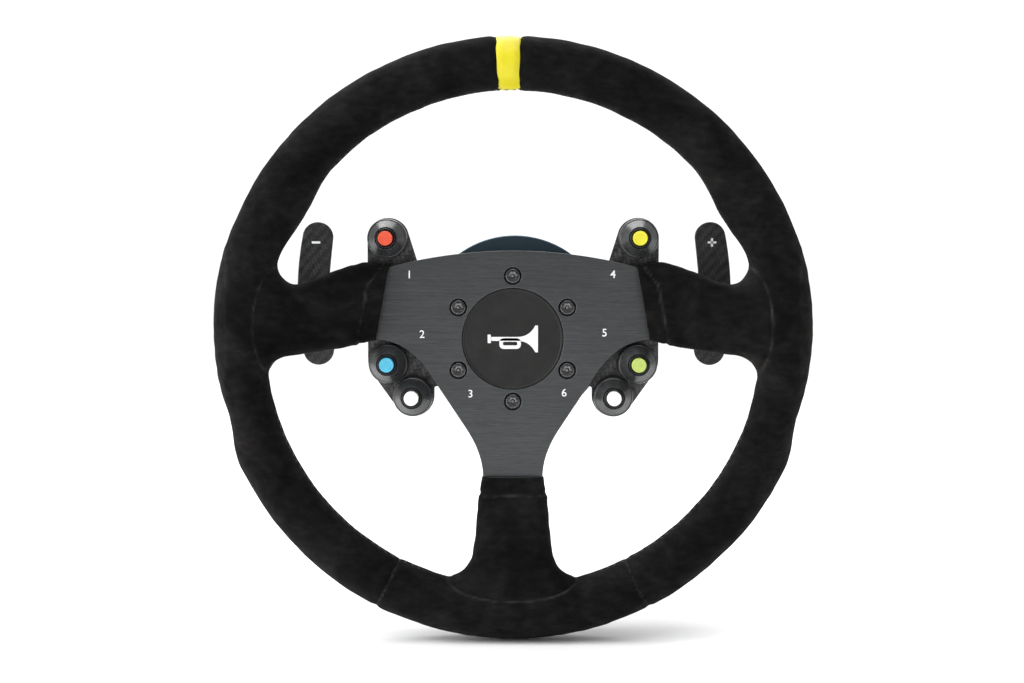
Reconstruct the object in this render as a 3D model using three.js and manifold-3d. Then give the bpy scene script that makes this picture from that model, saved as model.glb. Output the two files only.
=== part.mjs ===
// Quick-release steering wheel: a suede-covered 330 mm racing wheel with button pods and
// shift paddles, on a splined quick-release hub.
//
// Millimetres. The steering axis is Y, the wheel faces -Y (the driver), +Z is up and +X is
// the driver's right. The origin is the centre of the column boss's rear end face.
// A "depth" is the distance from that face towards the driver, so a point at depth d has y = -d.

import * as THREE from 'three';
import { mergeVertices } from 'three/addons/utils/BufferGeometryUtils.js';
import Module from 'manifold-3d';

const wasm = await Module();
wasm.setup();

// ---------------------------------------------------------------- driving dimensions

const GAP = 0.3;            // air between two pieces that are fastened face to face

// Rim
const RIM_RADIUS = 165;
const RIM_WIDTH = 29.2;     // radial
const RIM_DEPTH = 31;       // along the steering axis
const DISH = 13;            // rim middle to spoke plate front
const SKIN = 1.4;           // suede thickness
const RIM_STEPS = 48;
const SECTION_STEPS = 10;

// Depths of the stack, from the column to the driver
const BOSS_DEPTH = 10;
const FLANGE_DEPTH = 30;
const SLEEVE_REAR = 40;
const SLEEVE_FRONT = 72;
const END_RING_FRONT = 77.6;
const PADDLE_REAR = 86.5;
const HOUSING_REAR = 97.3;
const ADAPTOR_REAR = 118.2;
const BRACKET_REAR = 124.5;
const PLATE_REAR = 134;
const PLATE_THICKNESS = 4;
const CARBON_THICKNESS = 3;

const PLATE_FRONT = PLATE_REAR + PLATE_THICKNESS;
const BRACKET_FRONT = BRACKET_REAR + CARBON_THICKNESS;
const RIM_MIDDLE = PLATE_FRONT + DISH;
const RIM_CENTRE_RADIUS = RIM_RADIUS - RIM_WIDTH / 2;

// Hub
const BOLT_CIRCLE = 35;     // radius of the six-bolt pattern
const BOLT_ANGLES = [90, 150, 210, 270, 330, 30];
const BOLT_HOLE = 2.8;
const CAP_RADIUS = 28;
const FLANGE_RADIUS = 59;
const BOSS_RADIUS = 20;
const SHAFT_BORE = 8.5;
const SLEEVE_RADIUS = 36;
const SLEEVE_BORE = 33.3;
const BARREL_RADIUS = 29.5;
const SPIGOT_RADIUS = 25;
const NOSE_RADIUS = 22;
const NOSE_REAR = 46.5;
const ADAPTOR_RADIUS = 46;
const SPLINE_TEETH = 12;

// Buttons: across, up (right-hand side, the left mirrors it)
const BUTTONS = [
  { place: 'upper', x: 70.1, z: 55.8 },
  { place: 'outer', x: 69.7, z: -14.1 },
  { place: 'inner', x: 56.1, z: -32.6 },
];
const BUTTON_COLOURS = {
  left: { upper: '#e8402c', outer: '#2f8fd0', inner: '#f2f2ef' },
  right: { upper: '#f2e21e', outer: '#a6d83a', inner: '#f2f2ef' },
};
const BEZEL_RADIUS = 11.1;
const BEZEL_SHOULDER = 135.2;
const BEZEL_FRONT = 144.2;
const BUTTON_FRONT = 147.4;
const BUTTON_SEAT = 138.6;
const BUTTON_BORE = 4.3;
const POD_RADIUS = 11.7;

// Paddles
const PIVOT_X = 49.6;
const PIVOT_DEPTH = 106;
const STOP_PIN_X = 38.4;
const PIN_RADIUS = 2;
const HOUSING = {
  inner: 27,
  outer: 59.5,
  half: 17,
  slotInner: 40.6,
  slotOuter: 58,
  slotFront: 113.5,
};

// ---------------------------------------------------------------- solids

function signedVolume(corners, triangles) {
  const [a, b, c] = [new THREE.Vector3(), new THREE.Vector3(), new THREE.Vector3()];
  let total = 0;
  for (let i = 0; i < triangles.length; i += 3) {
    a.fromArray(corners, 3 * triangles[i]);
    b.fromArray(corners, 3 * triangles[i + 1]);
    c.fromArray(corners, 3 * triangles[i + 2]);
    total += a.dot(b.cross(c)) / 6;
  }
  return total;
}

// A closed three.js geometry as a solid, its faces turned outwards.
function solid(geometry) {
  const bare = geometry.clone();
  bare.deleteAttribute('normal');
  bare.deleteAttribute('uv');
  const merged = mergeVertices(bare, 1e-3);
  const corners = merged.attributes.position.array;
  const all = merged.index.array;
  const triangles = [];
  for (let i = 0; i < all.length; i += 3) {
    const [a, b, c] = [all[i], all[i + 1], all[i + 2]];
    if (a !== b && b !== c && c !== a) triangles.push(a, b, c);
  }
  if (signedVolume(corners, triangles) < 0) triangles.reverse();
  return new wasm.Manifold(new wasm.Mesh({
    numProp: 3,
    vertProperties: Float32Array.from(corners),
    triVerts: Uint32Array.from(triangles),
  }));
}

function geometryOf(body) {
  const mesh = body.getMesh();
  const geometry = new THREE.BufferGeometry();
  geometry.setAttribute('position', new THREE.BufferAttribute(mesh.vertProperties, 3));
  geometry.setIndex(new THREE.BufferAttribute(mesh.triVerts, 1));
  geometry.computeVertexNormals();
  return geometry;
}

// A solid turned about the steering axis: profile rows are [radius, depth].
function turned(profile, segments = 32) {
  const points = profile.map(([radius, depth]) => new THREE.Vector2(radius, -depth));
  return solid(new THREE.LatheGeometry(points, segments));
}

// The same for a ring or a tube, whose profile closes on itself.
function turnedRing(profile, segments = 32) {
  return turned([...profile, profile[0]], segments);
}

// A flat outline (across, up) cut from sheet between two depths.
function sheet(outline, rear, front, curveSegments = 5) {
  const options = { depth: front - rear, bevelEnabled: false, curveSegments };
  const geometry = new THREE.ExtrudeGeometry(outline, options);
  return solid(geometry.translate(0, 0, rear).rotateX(Math.PI / 2));
}

// A round rod along the steering axis.
function rod(radius, rear, front, x = 0, z = 0, sides = 16) {
  const geometry = new THREE.CylinderGeometry(radius, radius, front - rear, sides);
  return solid(geometry.translate(x, -(rear + front) / 2, z));
}

// A round pin parallel to Z.
function uprightPin(radius, length, x, depth, sides = 12) {
  const geometry = new THREE.CylinderGeometry(radius, radius, length, sides);
  return solid(geometry.rotateX(Math.PI / 2).translate(x, -depth, 0));
}

// A box between two corners given as [x, depth, z].
function block(low, high) {
  const size = high.map((value, i) => value - low[i]);
  const middle = high.map((value, i) => (value + low[i]) / 2);
  const geometry = new THREE.BoxGeometry(...size);
  return solid(geometry.translate(middle[0], -middle[1], middle[2]));
}

function unite(...bodies) {
  return bodies.reduce((whole, body) => whole.add(body));
}

function cut(body, ...tools) {
  return tools.reduce((whole, tool) => whole.subtract(tool), body);
}

function radians(degrees) {
  return degrees * Math.PI / 180;
}

function onCircle(radius, degrees) {
  return [radius * Math.cos(radians(degrees)), radius * Math.sin(radians(degrees))];
}

function smoothstep(t) {
  const clamped = Math.min(1, Math.max(0, t));
  return clamped * clamped * (3 - 2 * clamped);
}

function mix(a, b, t) {
  return a + (b - a) * t;
}

// ---------------------------------------------------------------- scene graph

const MATERIALS = {
  suede: { color: '#151414', roughness: 0.95, metalness: 0 },
  yellowLeather: { color: '#f2cf10', roughness: 0.6, metalness: 0 },
  foam: { color: '#26282a', roughness: 0.9, metalness: 0 },
  blackAluminium: { color: '#2b2c2e', roughness: 0.45, metalness: 0.8 },
  gunAluminium: { color: '#4a545d', roughness: 0.4, metalness: 0.8 },
  steel: { color: '#c8cacc', roughness: 0.25, metalness: 1 },
  blackSteel: { color: '#1b1b1c', roughness: 0.5, metalness: 0.6 },
  carbon: { color: '#222427', roughness: 0.4, metalness: 0.1 },
  blackPlastic: { color: '#161719', roughness: 0.45, metalness: 0 },
};

const wheelWithHub = new THREE.Group();
const columnHub = new THREE.Group();
const releaseSleeve = new THREE.Group();
const wheel = new THREE.Group();
wheelWithHub.add(columnHub, releaseSleeve, wheel);

function addPart(group, name, body, look) {
  const mesh = new THREE.Mesh(geometryOf(body), new THREE.MeshStandardMaterial(look));
  mesh.name = name;
  group.add(mesh);
}

// ---------------------------------------------------------------- column side of the hub

function columnFlange() {
  return turnedRing([
    [SHAFT_BORE, 0],
    [BOSS_RADIUS - 0.8, 0],
    [BOSS_RADIUS, 0.8],
    [BOSS_RADIUS, BOSS_DEPTH],
    [FLANGE_RADIUS - 1, BOSS_DEPTH],
    [FLANGE_RADIUS, BOSS_DEPTH + 1],
    [FLANGE_RADIUS, FLANGE_DEPTH - 1],
    [FLANGE_RADIUS - 1, FLANGE_DEPTH],
    [SHAFT_BORE, FLANGE_DEPTH],
  ], 40);
}

const RECEIVER = {
  rear: FLANGE_DEPTH + GAP,
  shoulderRadius: SLEEVE_BORE - GAP,
  shoulderFront: 45.7,
  floor: 46.2,
  splineFront: 58,
  splineBore: NOSE_RADIUS + GAP,
  collarRear: 60,
  collarBore: 26.8,
  front: 71.5,
  connectorBore: 12.2,
};
const CIRCLIP = { inner: 28.6, outer: 32.8, rear: 68.1, front: 69.9 };

// Straight spline teeth, or the slots between them, set round the steering axis.
function splines(inner, outer, width, rear, front) {
  const teeth = [];
  for (let i = 0; i < SPLINE_TEETH; i += 1) {
    const tooth = new THREE.BoxGeometry(outer - inner, front - rear, width);
    tooth.translate((inner + outer) / 2, -(rear + front) / 2, 0);
    tooth.rotateY(2 * Math.PI * i / SPLINE_TEETH);
    teeth.push(solid(tooth));
  }
  return teeth;
}

// The splined socket that takes the wheel's nose; the sleeve slides on its barrel.
function receiver() {
  const neckRadius = 25;
  const clipGroove = CIRCLIP.inner - GAP;
  const body = turnedRing([
    [RECEIVER.connectorBore, RECEIVER.rear],
    [30, RECEIVER.rear],
    [30, 35],
    [neckRadius, 35.6],
    [neckRadius, 38],
    [RECEIVER.shoulderRadius, 38.6],
    [RECEIVER.shoulderRadius, RECEIVER.shoulderFront],
    [BARREL_RADIUS, RECEIVER.shoulderFront],
    [BARREL_RADIUS, CIRCLIP.rear - GAP],
    [clipGroove, CIRCLIP.rear - GAP],
    [clipGroove, CIRCLIP.front + GAP],
    [BARREL_RADIUS, CIRCLIP.front + GAP],
    [BARREL_RADIUS, RECEIVER.front],
    [RECEIVER.collarBore, RECEIVER.front],
    [RECEIVER.collarBore, RECEIVER.collarRear],
    [RECEIVER.splineBore, RECEIVER.collarRear],
    [RECEIVER.splineBore, RECEIVER.floor],
    [RECEIVER.connectorBore, RECEIVER.floor],
  ], 24);
  const teeth = splines(20, RECEIVER.splineBore + 1, 3.2, RECEIVER.floor - 0.5, RECEIVER.splineFront);
  return unite(body, ...teeth);
}

function circlip() {
  const ring = turnedRing([
    [CIRCLIP.inner, CIRCLIP.rear],
    [CIRCLIP.outer, CIRCLIP.rear],
    [CIRCLIP.outer, CIRCLIP.front],
    [CIRCLIP.inner, CIRCLIP.front],
  ], 24);
  return cut(ring, block([-3, CIRCLIP.rear - 1, -40], [3, CIRCLIP.front + 1, 0]));
}

const COLLET = { rear: 60.3, root: 63.5, toothRear: 72.2, front: 74.8, inner: 22.6, outer: 26.5, tooth: 20.8 };

// Slotted spring collet: its fingers' teeth sit in the groove of the wheel's nose.
function collet() {
  const ring = turnedRing([
    [COLLET.inner, COLLET.rear],
    [COLLET.outer, COLLET.rear],
    [COLLET.outer, COLLET.front],
    [COLLET.tooth, COLLET.front],
    [COLLET.tooth, COLLET.toothRear],
    [COLLET.inner, COLLET.toothRear],
  ], 24);
  const slotWidth = 1.6;
  const slots = [0, 45, 90, 135].map((angle) => {
    const slot = new THREE.BoxGeometry(3 * COLLET.outer, 20, slotWidth);
    slot.translate(0, -(COLLET.root + 10), 0).rotateY(radians(angle + 22.5));
    return solid(slot);
  });
  return cut(ring, ...slots);
}

function columnConnector() {
  const radius = RECEIVER.connectorBore - 0.4;
  return turned([
    [0, 32],
    [radius, 32],
    [radius, RECEIVER.floor - 0.8],
    [radius - 0.8, RECEIVER.floor],
    [0, RECEIVER.floor],
  ], 20);
}

addPart(columnHub, 'column_flange', columnFlange(), MATERIALS.gunAluminium);
addPart(columnHub, 'qr_receiver', receiver(), MATERIALS.blackAluminium);
addPart(columnHub, 'retaining_ring', circlip(), MATERIALS.steel);
addPart(columnHub, 'lock_collet', collet(), MATERIALS.steel);
addPart(columnHub, 'column_connector', columnConnector(), MATERIALS.blackPlastic);

// ---------------------------------------------------------------- release sleeve

const SLEEVE_SHOULDER = { rear: 46, front: 50 };

function sleeve() {
  const groove = SLEEVE_RADIUS - 0.8;
  const body = turnedRing([
    [SLEEVE_BORE, SLEEVE_REAR],
    [groove, SLEEVE_REAR],
    [SLEEVE_RADIUS, SLEEVE_REAR + 0.8],
    [SLEEVE_RADIUS, 43],
    [groove, 43.6],
    [groove, 44.8],
    [SLEEVE_RADIUS, 45.4],
    [SLEEVE_RADIUS, 47.6],
    [groove, 48.2],
    [groove, 49.4],
    [SLEEVE_RADIUS, 50],
    [SLEEVE_RADIUS, SLEEVE_FRONT],
    [SLEEVE_BORE, SLEEVE_FRONT],
    [SLEEVE_BORE, SLEEVE_SHOULDER.front],
    [BARREL_RADIUS + GAP, SLEEVE_SHOULDER.front],
    [BARREL_RADIUS + GAP, SLEEVE_SHOULDER.rear],
    [SLEEVE_BORE, SLEEVE_SHOULDER.rear],
  ]);
  const window = new THREE.CylinderGeometry(1, 1, 10, 16);
  window.rotateX(Math.PI / 2).scale(6, 2.6, 1).translate(0, -65, -SLEEVE_RADIUS);
  return cut(body, solid(window));
}

const RING_SCREW_ANGLES = [45, 135, 225, 315];
const RING_SCREW_CIRCLE = 33;

function endRing() {
  const rear = SLEEVE_FRONT + GAP;
  const radius = SLEEVE_RADIUS + 1.5;
  const bore = COLLET.outer + 0.4;
  const ring = turnedRing([
    [bore, rear],
    [radius - 0.6, rear],
    [radius, rear + 0.6],
    [radius, rear + 2.1],
    [radius - 1.3, rear + 2.3],
    [radius - 1.3, rear + 2.9],
    [radius, rear + 3.1],
    [radius, END_RING_FRONT - 0.6],
    [radius - 0.6, END_RING_FRONT],
    [bore + 1, END_RING_FRONT],
    [bore, END_RING_FRONT - 1],
  ]);
  const holes = RING_SCREW_ANGLES.map((angle) => {
    const [x, z] = onCircle(RING_SCREW_CIRCLE, angle);
    return rod(1.7, 73, END_RING_FRONT + 1, x, z, 10);
  });
  return cut(ring, ...holes);
}

function ringScrew(angle) {
  const [x, z] = onCircle(RING_SCREW_CIRCLE, angle);
  const head = rod(2.3, END_RING_FRONT + GAP, END_RING_FRONT + 3.1, x, z, 14);
  const shank = rod(1.4, 73.3, END_RING_FRONT + 1, x, z, 10);
  const socket = rod(1.2, END_RING_FRONT + 1.9, END_RING_FRONT + 4, x, z, 6);
  return cut(unite(head, shank), socket);
}

class Helix extends THREE.Curve {
  constructor(radius, turns, rear, front) {
    super();
    Object.assign(this, { radius, turns, rear, front });
  }

  getPoint(t) {
    const angle = 2 * Math.PI * this.turns * t;
    const y = -mix(this.rear, this.front, t);
    return new THREE.Vector3(this.radius * Math.cos(angle), y, this.radius * Math.sin(angle));
  }
}

// The spring between the sleeve's inner shoulder and the retaining ring.
function sleeveSpring() {
  const wire = 0.9;
  const turns = 4;
  const rear = SLEEVE_SHOULDER.front + GAP + wire;
  const front = CIRCLIP.rear - GAP - wire;
  const path = new Helix((BARREL_RADIUS + SLEEVE_BORE) / 2, turns, rear, front);
  const section = new THREE.Shape();
  section.absarc(0, 0, wire, 0, 2 * Math.PI);
  const options = { extrudePath: path, steps: turns * 12, curveSegments: 3, bevelEnabled: false };
  return solid(new THREE.ExtrudeGeometry(section, options));
}

addPart(releaseSleeve, 'release_sleeve', sleeve(), MATERIALS.gunAluminium);
addPart(releaseSleeve, 'sleeve_end_ring', endRing(), MATERIALS.gunAluminium);
addPart(releaseSleeve, 'sleeve_spring', sleeveSpring(), MATERIALS.steel);
RING_SCREW_ANGLES.forEach((angle, i) => {
  addPart(releaseSleeve, `ring_screw_${i + 1}`, ringScrew(angle), MATERIALS.blackSteel);
});

// ---------------------------------------------------------------- wheel side of the hub

const PAD_HALF = 23.7;      // half width of the adaptor's pad between the two button brackets

function boltHoles(radius, rear, front, angles = BOLT_ANGLES, sides = 10) {
  return angles.map((angle) => rod(radius, rear, front, ...onCircle(BOLT_CIRCLE, angle), sides));
}

// Bolted flange and splined nose in one piece.
function adaptor() {
  const bore = 12;
  const groove = COLLET.tooth - GAP;
  const body = turnedRing([
    [bore, NOSE_REAR],
    [NOSE_RADIUS - 1.2, NOSE_REAR],
    [NOSE_RADIUS, NOSE_REAR + 1.2],
    [NOSE_RADIUS, COLLET.toothRear - GAP],
    [groove, COLLET.toothRear - GAP],
    [groove, COLLET.front + GAP],
    [NOSE_RADIUS, COLLET.front + GAP],
    [NOSE_RADIUS, 80],
    [SPIGOT_RADIUS - 0.8, 80],
    [SPIGOT_RADIUS, 80.8],
    [SPIGOT_RADIUS, ADAPTOR_REAR],
    [ADAPTOR_RADIUS, ADAPTOR_REAR],
    [ADAPTOR_RADIUS, BRACKET_FRONT],
    [bore, BRACKET_FRONT],
  ], 24);
  const slots = splines(19.7, NOSE_RADIUS + 2, 3.8, NOSE_REAR - 1, RECEIVER.splineFront + 0.6);
  const step = BRACKET_REAR - GAP;
  const left = block([-60, step, -60], [-PAD_HALF, step + 10, 60]);
  const right = block([PAD_HALF, step, -60], [60, step + 10, 60]);
  return cut(body, ...slots, left, right, ...boltHoles(2.7, ADAPTOR_REAR - 1, BRACKET_FRONT + 1));
}

function wheelConnector() {
  const rear = NOSE_REAR + 0.2;
  return turned([[0, rear], [10.9, rear], [11.7, rear + 0.8], [11.7, 60], [0, 60]], 20);
}

function hubSpacer() {
  const ring = turnedRing([
    [CAP_RADIUS - 1.7, BRACKET_FRONT + GAP],
    [ADAPTOR_RADIUS - 1, BRACKET_FRONT + GAP],
    [ADAPTOR_RADIUS - 1, PLATE_REAR - GAP],
    [CAP_RADIUS - 1.7, PLATE_REAR - GAP],
  ], 24);
  return cut(ring, ...boltHoles(BOLT_HOLE, BRACKET_FRONT, PLATE_REAR));
}

function centreCap() {
  const front = PLATE_FRONT - 0.1;
  const skirt = CAP_RADIUS - 2.1;
  return turned([
    [0, 131],
    [skirt, 131],
    [skirt, front - 3],
    [CAP_RADIUS, front - 2.8],
    [CAP_RADIUS, front - 0.4],
    [CAP_RADIUS - 0.4, front],
    [0, front],
  ]);
}

// Button-head bolt with a pinned six-sided socket.
function hubBolt(angle) {
  const [x, z] = onCircle(BOLT_CIRCLE, angle);
  const seat = PLATE_FRONT - 2.6;
  const head = rod(4.6, seat, PLATE_FRONT - 0.2, x, z, 12);
  const shank = rod(2.5, ADAPTOR_REAR + 0.2, seat + 1, x, z, 8);
  const socket = rod(2.4, PLATE_FRONT - 1.7, PLATE_FRONT + 1, x, z, 6);
  const pin = rod(0.8, PLATE_FRONT - 2, PLATE_FRONT - 0.6, x, z, 6);
  return unite(cut(unite(head, shank), socket), pin);
}

addPart(wheel, 'wheel_adaptor', adaptor(), MATERIALS.blackAluminium);
addPart(wheel, 'wheel_connector', wheelConnector(), MATERIALS.blackPlastic);
addPart(wheel, 'hub_spacer', hubSpacer(), MATERIALS.blackAluminium);
addPart(wheel, 'centre_cap', centreCap(), MATERIALS.blackPlastic);
BOLT_ANGLES.forEach((angle, i) => {
  addPart(wheel, `hub_bolt_${i + 1}`, hubBolt(angle), MATERIALS.blackSteel);
});

// ---------------------------------------------------------------- spoke plate

// The plate's visible edge meets the suede on a slanting line: x at height z.
const EDGE = { x: 76, lean: 0.18 };
const STEM_END = -77.4;

function edgeX(z) {
  return EDGE.x - EDGE.lean * z;
}

const STRAP = { half: 11, sideZ: 14.5, start: 82 };
const CORE = { inner: 143.5, outer: 154.5, thickness: 4 };

// The plate's right half, from the top round to the foot of the stem; x = -1 is inside the
// other half.
function halfPlateOutline() {
  const corner = 68;
  const tuck = 4;
  const hiddenEnd = STRAP.start + 2;
  const outline = new THREE.Shape();
  outline.moveTo(-1, 48.9);
  outline.quadraticCurveTo(corner / 2, 49, corner, 40.3);
  outline.lineTo(edgeX(36) - 0.2, 36);
  outline.lineTo(STRAP.start - 4, 36 - tuck / 2);
  outline.lineTo(hiddenEnd, STRAP.sideZ + STRAP.half);
  outline.lineTo(hiddenEnd, STRAP.sideZ - STRAP.half);
  outline.lineTo(edgeX(tuck) - 0.4, tuck);
  outline.lineTo(edgeX(0) - 0.6, -0.2);
  outline.quadraticCurveTo(56, -2, 44.3, -22.6);
  outline.lineTo(26.2, -50);
  outline.quadraticCurveTo(16.9, -64, 16.7, STEM_END + 0.4);
  outline.lineTo(STRAP.half, STEM_END);
  outline.lineTo(STRAP.half, STEM_END - 8);
  outline.lineTo(-1, STEM_END - 8);
  outline.closePath();
  return outline;
}

function flatPlate(grow) {
  const half = sheet(halfPlateOutline(), PLATE_REAR - grow, PLATE_FRONT + grow, 6);
  return unite(half, half.mirror([1, 0, 0]));
}

// A sloping strap from the plate (across `start`) out to the ring core.
function strap(degrees, offset, grow) {
  const end = (CORE.inner + CORE.outer) / 2;
  const rise = RIM_MIDDLE - PLATE_THICKNESS / 2 - PLATE_REAR;
  const run = end - STRAP.start;
  const length = Math.hypot(run, rise) + 6;
  const size = [length, CORE.thickness + 2 * grow, 2 * (STRAP.half + grow)];
  const bar = new THREE.BoxGeometry(...size);
  bar.rotateZ(-Math.atan2(rise, run));
  const middleDepth = (PLATE_REAR + PLATE_FRONT) / 2 + rise / 2;
  bar.translate((STRAP.start + end) / 2, -middleDepth, offset);
  return solid(bar.rotateY(radians(-degrees)));
}

function coreRing(grow) {
  const half = CORE.thickness / 2 + grow;
  return turnedRing([
    [CORE.inner - grow, RIM_MIDDLE - half],
    [CORE.outer + grow, RIM_MIDDLE - half],
    [CORE.outer + grow, RIM_MIDDLE + half],
    [CORE.inner - grow, RIM_MIDDLE + half],
  ], RIM_STEPS);
}

// The straps and the ring inside the foam; grow widens them to make their cavity.
function hiddenFrame(grow) {
  const straps = [
    strap(0, STRAP.sideZ, grow),
    strap(180, -STRAP.sideZ, grow),
    strap(-90, 0, grow),
  ];
  return unite(coreRing(grow), ...straps);
}

function spokePlate() {
  const capHole = rod(CAP_RADIUS + GAP, PLATE_REAR - 1, PLATE_FRONT + 1, 0, 0, 32);
  const holes = boltHoles(BOLT_HOLE, PLATE_REAR - 1, PLATE_FRONT);
  const recesses = boltHoles(5, PLATE_FRONT - 2.8, PLATE_FRONT + 1, BOLT_ANGLES, 12);
  return cut(unite(flatPlate(0), hiddenFrame(0)), capHole, ...holes, ...recesses);
}

addPart(wheel, 'spoke_plate', spokePlate(), MATERIALS.blackAluminium);

// ---------------------------------------------------------------- rim and spoke covering

// How far the rim's outer edge dips below each grip, at an angle below the horizontal.
function gripDip(below) {
  const deepest = 15;
  const depth = 3.9;
  if (below < deepest) return depth * Math.max(0, (below + 15) / 30) ** 1.5;
  return depth * (1 - smoothstep((below - deepest) / 10));
}

// How far the thumb rest above each spoke swells inwards.
function thumbBulge(above) {
  const middle = 31;
  const reach = 13;
  const t = Math.min(1, Math.abs(above - middle) / reach);
  return 3.6 * Math.cos(t * Math.PI / 2) ** 2;
}

// The bare ring: a torus whose section and radius follow the grips.
function ringBody(grow) {
  const torus = new THREE.TorusGeometry(RIM_CENTRE_RADIUS, 1, SECTION_STEPS, RIM_STEPS);
  const corners = torus.attributes.position;
  const point = new THREE.Vector3();
  for (let i = 0; i < corners.count; i += 1) {
    point.fromBufferAttribute(corners, i);
    const angle = Math.atan2(point.y, point.x);
    const across = Math.hypot(point.x, point.y) - RIM_CENTRE_RADIUS;
    const above = Math.asin(Math.sin(angle)) * 180 / Math.PI;
    const outer = RIM_RADIUS - gripDip(-above) + grow;
    const inner = RIM_RADIUS - RIM_WIDTH - thumbBulge(above) - grow;
    const radius = (outer + inner) / 2 + across * (outer - inner) / 2;
    const depth = RIM_MIDDLE + point.z * (RIM_DEPTH / 2 + grow);
    corners.setXYZ(i, radius * Math.cos(angle), -depth, radius * Math.sin(angle));
  }
  return solid(torus);
}

// Edges of a padded spoke: distance out from the steering axis, low edge, high edge.
const SIDE_SPOKE = [
  { out: edgeX(20), low: 0, high: 41.5 },
  { out: 82, low: -2, high: 42.8 },
  { out: 92, low: -4.4, high: 40.5 },
  { out: 103, low: -6.2, high: 36 },
  { out: 113, low: -7.4, high: 31.6 },
  { out: 121, low: -8.4, high: 29.9 },
  { out: 127, low: -9.3, high: 33 },
  { out: 132.5, low: -12.3, high: 40 },
  { out: 146, low: -20, high: 44 },
];
const BOTTOM_SPOKE = [
  { out: -STEM_END, low: -17, high: 17 },
  { out: 87, low: -19, high: 19 },
  { out: 103, low: -20.4, high: 20.4 },
  { out: 118.5, low: -22, high: 22 },
  { out: 126, low: -24.6, high: 24.6 },
  { out: 131.5, low: -31, high: 31 },
  { out: 146, low: -38, high: 38 },
];
const PADDING = { thin: 6.5, thick: 12 };

// A padded spoke lofted from its stations; place puts (out, across, depth) in the frame.
function spokeBody(stations, lean, place, grow, extend) {
  const rows = stations.length - 1;
  const tube = new THREE.CylinderGeometry(1, 1, rows, 12, rows);
  const corners = tube.attributes.position;
  const first = stations[0].out;
  const last = stations[rows].out;
  for (let i = 0; i < corners.count; i += 1) {
    const row = Math.round(corners.getY(i) + rows / 2);
    const station = stations[row];
    const [a, b] = [corners.getX(i), corners.getZ(i)];
    const square = Math.max(Math.hypot(a, b), 1e-6);
    const [ca, cb] = [a / square, b / square].map((c) => Math.sign(c) * Math.abs(c) ** 0.75);
    const middle = (station.low + station.high) / 2;
    const across = middle + ca * square * ((station.high - station.low) / 2 + grow);
    const t = smoothstep((station.out - first) / (last - first));
    const thickness = mix(PADDING.thin, PADDING.thick, t) + grow;
    const depth = mix((PLATE_REAR + PLATE_FRONT) / 2, RIM_MIDDLE, t) + cb * square * thickness;
    const slant = lean * (across - 20) * Math.max(0, 1 - row / 2);
    const out = station.out - slant - (row === 0 ? extend : 0);
    corners.setXYZ(i, ...place(out, across, depth));
  }
  return solid(tube);
}

const SPOKE_PLACES = {
  right: (out, across, depth) => [out, -depth, across],
  left: (out, across, depth) => [-out, -depth, across],
  bottom: (out, across, depth) => [across, -depth, -out],
};

// The whole padded wheel; extend runs each spoke on past its end at the plate.
function paddedWheel(grow, extend = 0) {
  return unite(
    ringBody(grow),
    spokeBody(SIDE_SPOKE, EDGE.lean, SPOKE_PLACES.right, grow, extend),
    spokeBody(SIDE_SPOKE, EDGE.lean, SPOKE_PLACES.left, grow, extend),
    spokeBody(BOTTOM_SPOKE, 0, SPOKE_PLACES.bottom, grow, extend),
  );
}

// Seams of the covering, as angles from +X towards +Z.
const SEAM = { lowerLeft: 242.6, lowerRight: 297.4, markLeft: 93.1, markRight: 88.4 };
const SEAM_HALF_GAP = 0.06;

// A wedge from the steering axis through the whole depth of the rim.
function wedge(from, to) {
  const reach = 400;
  const outline = new THREE.Shape();
  outline.moveTo(0, 0);
  const steps = 4;
  for (let i = 0; i <= steps; i += 1) {
    outline.lineTo(...onCircle(reach, mix(from + SEAM_HALF_GAP, to - SEAM_HALF_GAP, i / steps)));
  }
  return sheet(outline, PLATE_REAR - 30, RIM_MIDDLE + 40);
}

function foam() {
  return cut(paddedWheel(-SKIN - GAP), unite(hiddenFrame(GAP), flatPlate(GAP)));
}

function addCovers() {
  const skin = cut(paddedWheel(0), paddedWheel(-SKIN, 6));
  const left = skin.intersect(wedge(SEAM.markLeft, SEAM.lowerLeft));
  const right = skin.intersect(wedge(SEAM.lowerRight, 360 + SEAM.markRight));
  const mark = skin.intersect(wedge(SEAM.markRight, SEAM.markLeft));
  const bottom = skin.intersect(wedge(SEAM.lowerLeft, SEAM.lowerRight));
  const spokeReach = 131;
  const spokeHalf = 34;
  const front = RIM_MIDDLE + 40;
  const spokeBox = block([-spokeHalf, 100, -spokeReach], [spokeHalf, front, 0]);
  const outside = spokeHalf + GAP;
  const rimBox = block([-outside, 100, -spokeReach - GAP], [outside, front, 0]);
  addPart(wheel, 'rim_cover_left', left, MATERIALS.suede);
  addPart(wheel, 'rim_cover_right', right, MATERIALS.suede);
  addPart(wheel, 'rim_cover_bottom', bottom.subtract(rimBox), MATERIALS.suede);
  addPart(wheel, 'spoke_cover_bottom', bottom.intersect(spokeBox), MATERIALS.suede);
  addPart(wheel, 'centre_mark', mark, MATERIALS.yellowLeather);
}

addPart(wheel, 'rim_foam', foam(), MATERIALS.foam);
addCovers();

// ---------------------------------------------------------------- button pods

// Where a bracket's straight edges run in behind the plate.
const BRACKET_ROOT = { inner: 24, low: -25, high: 25, shoulder: [52.9, 40] };
const SWITCH_SEAT = 6.3;    // radius of the hole under each button

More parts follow.
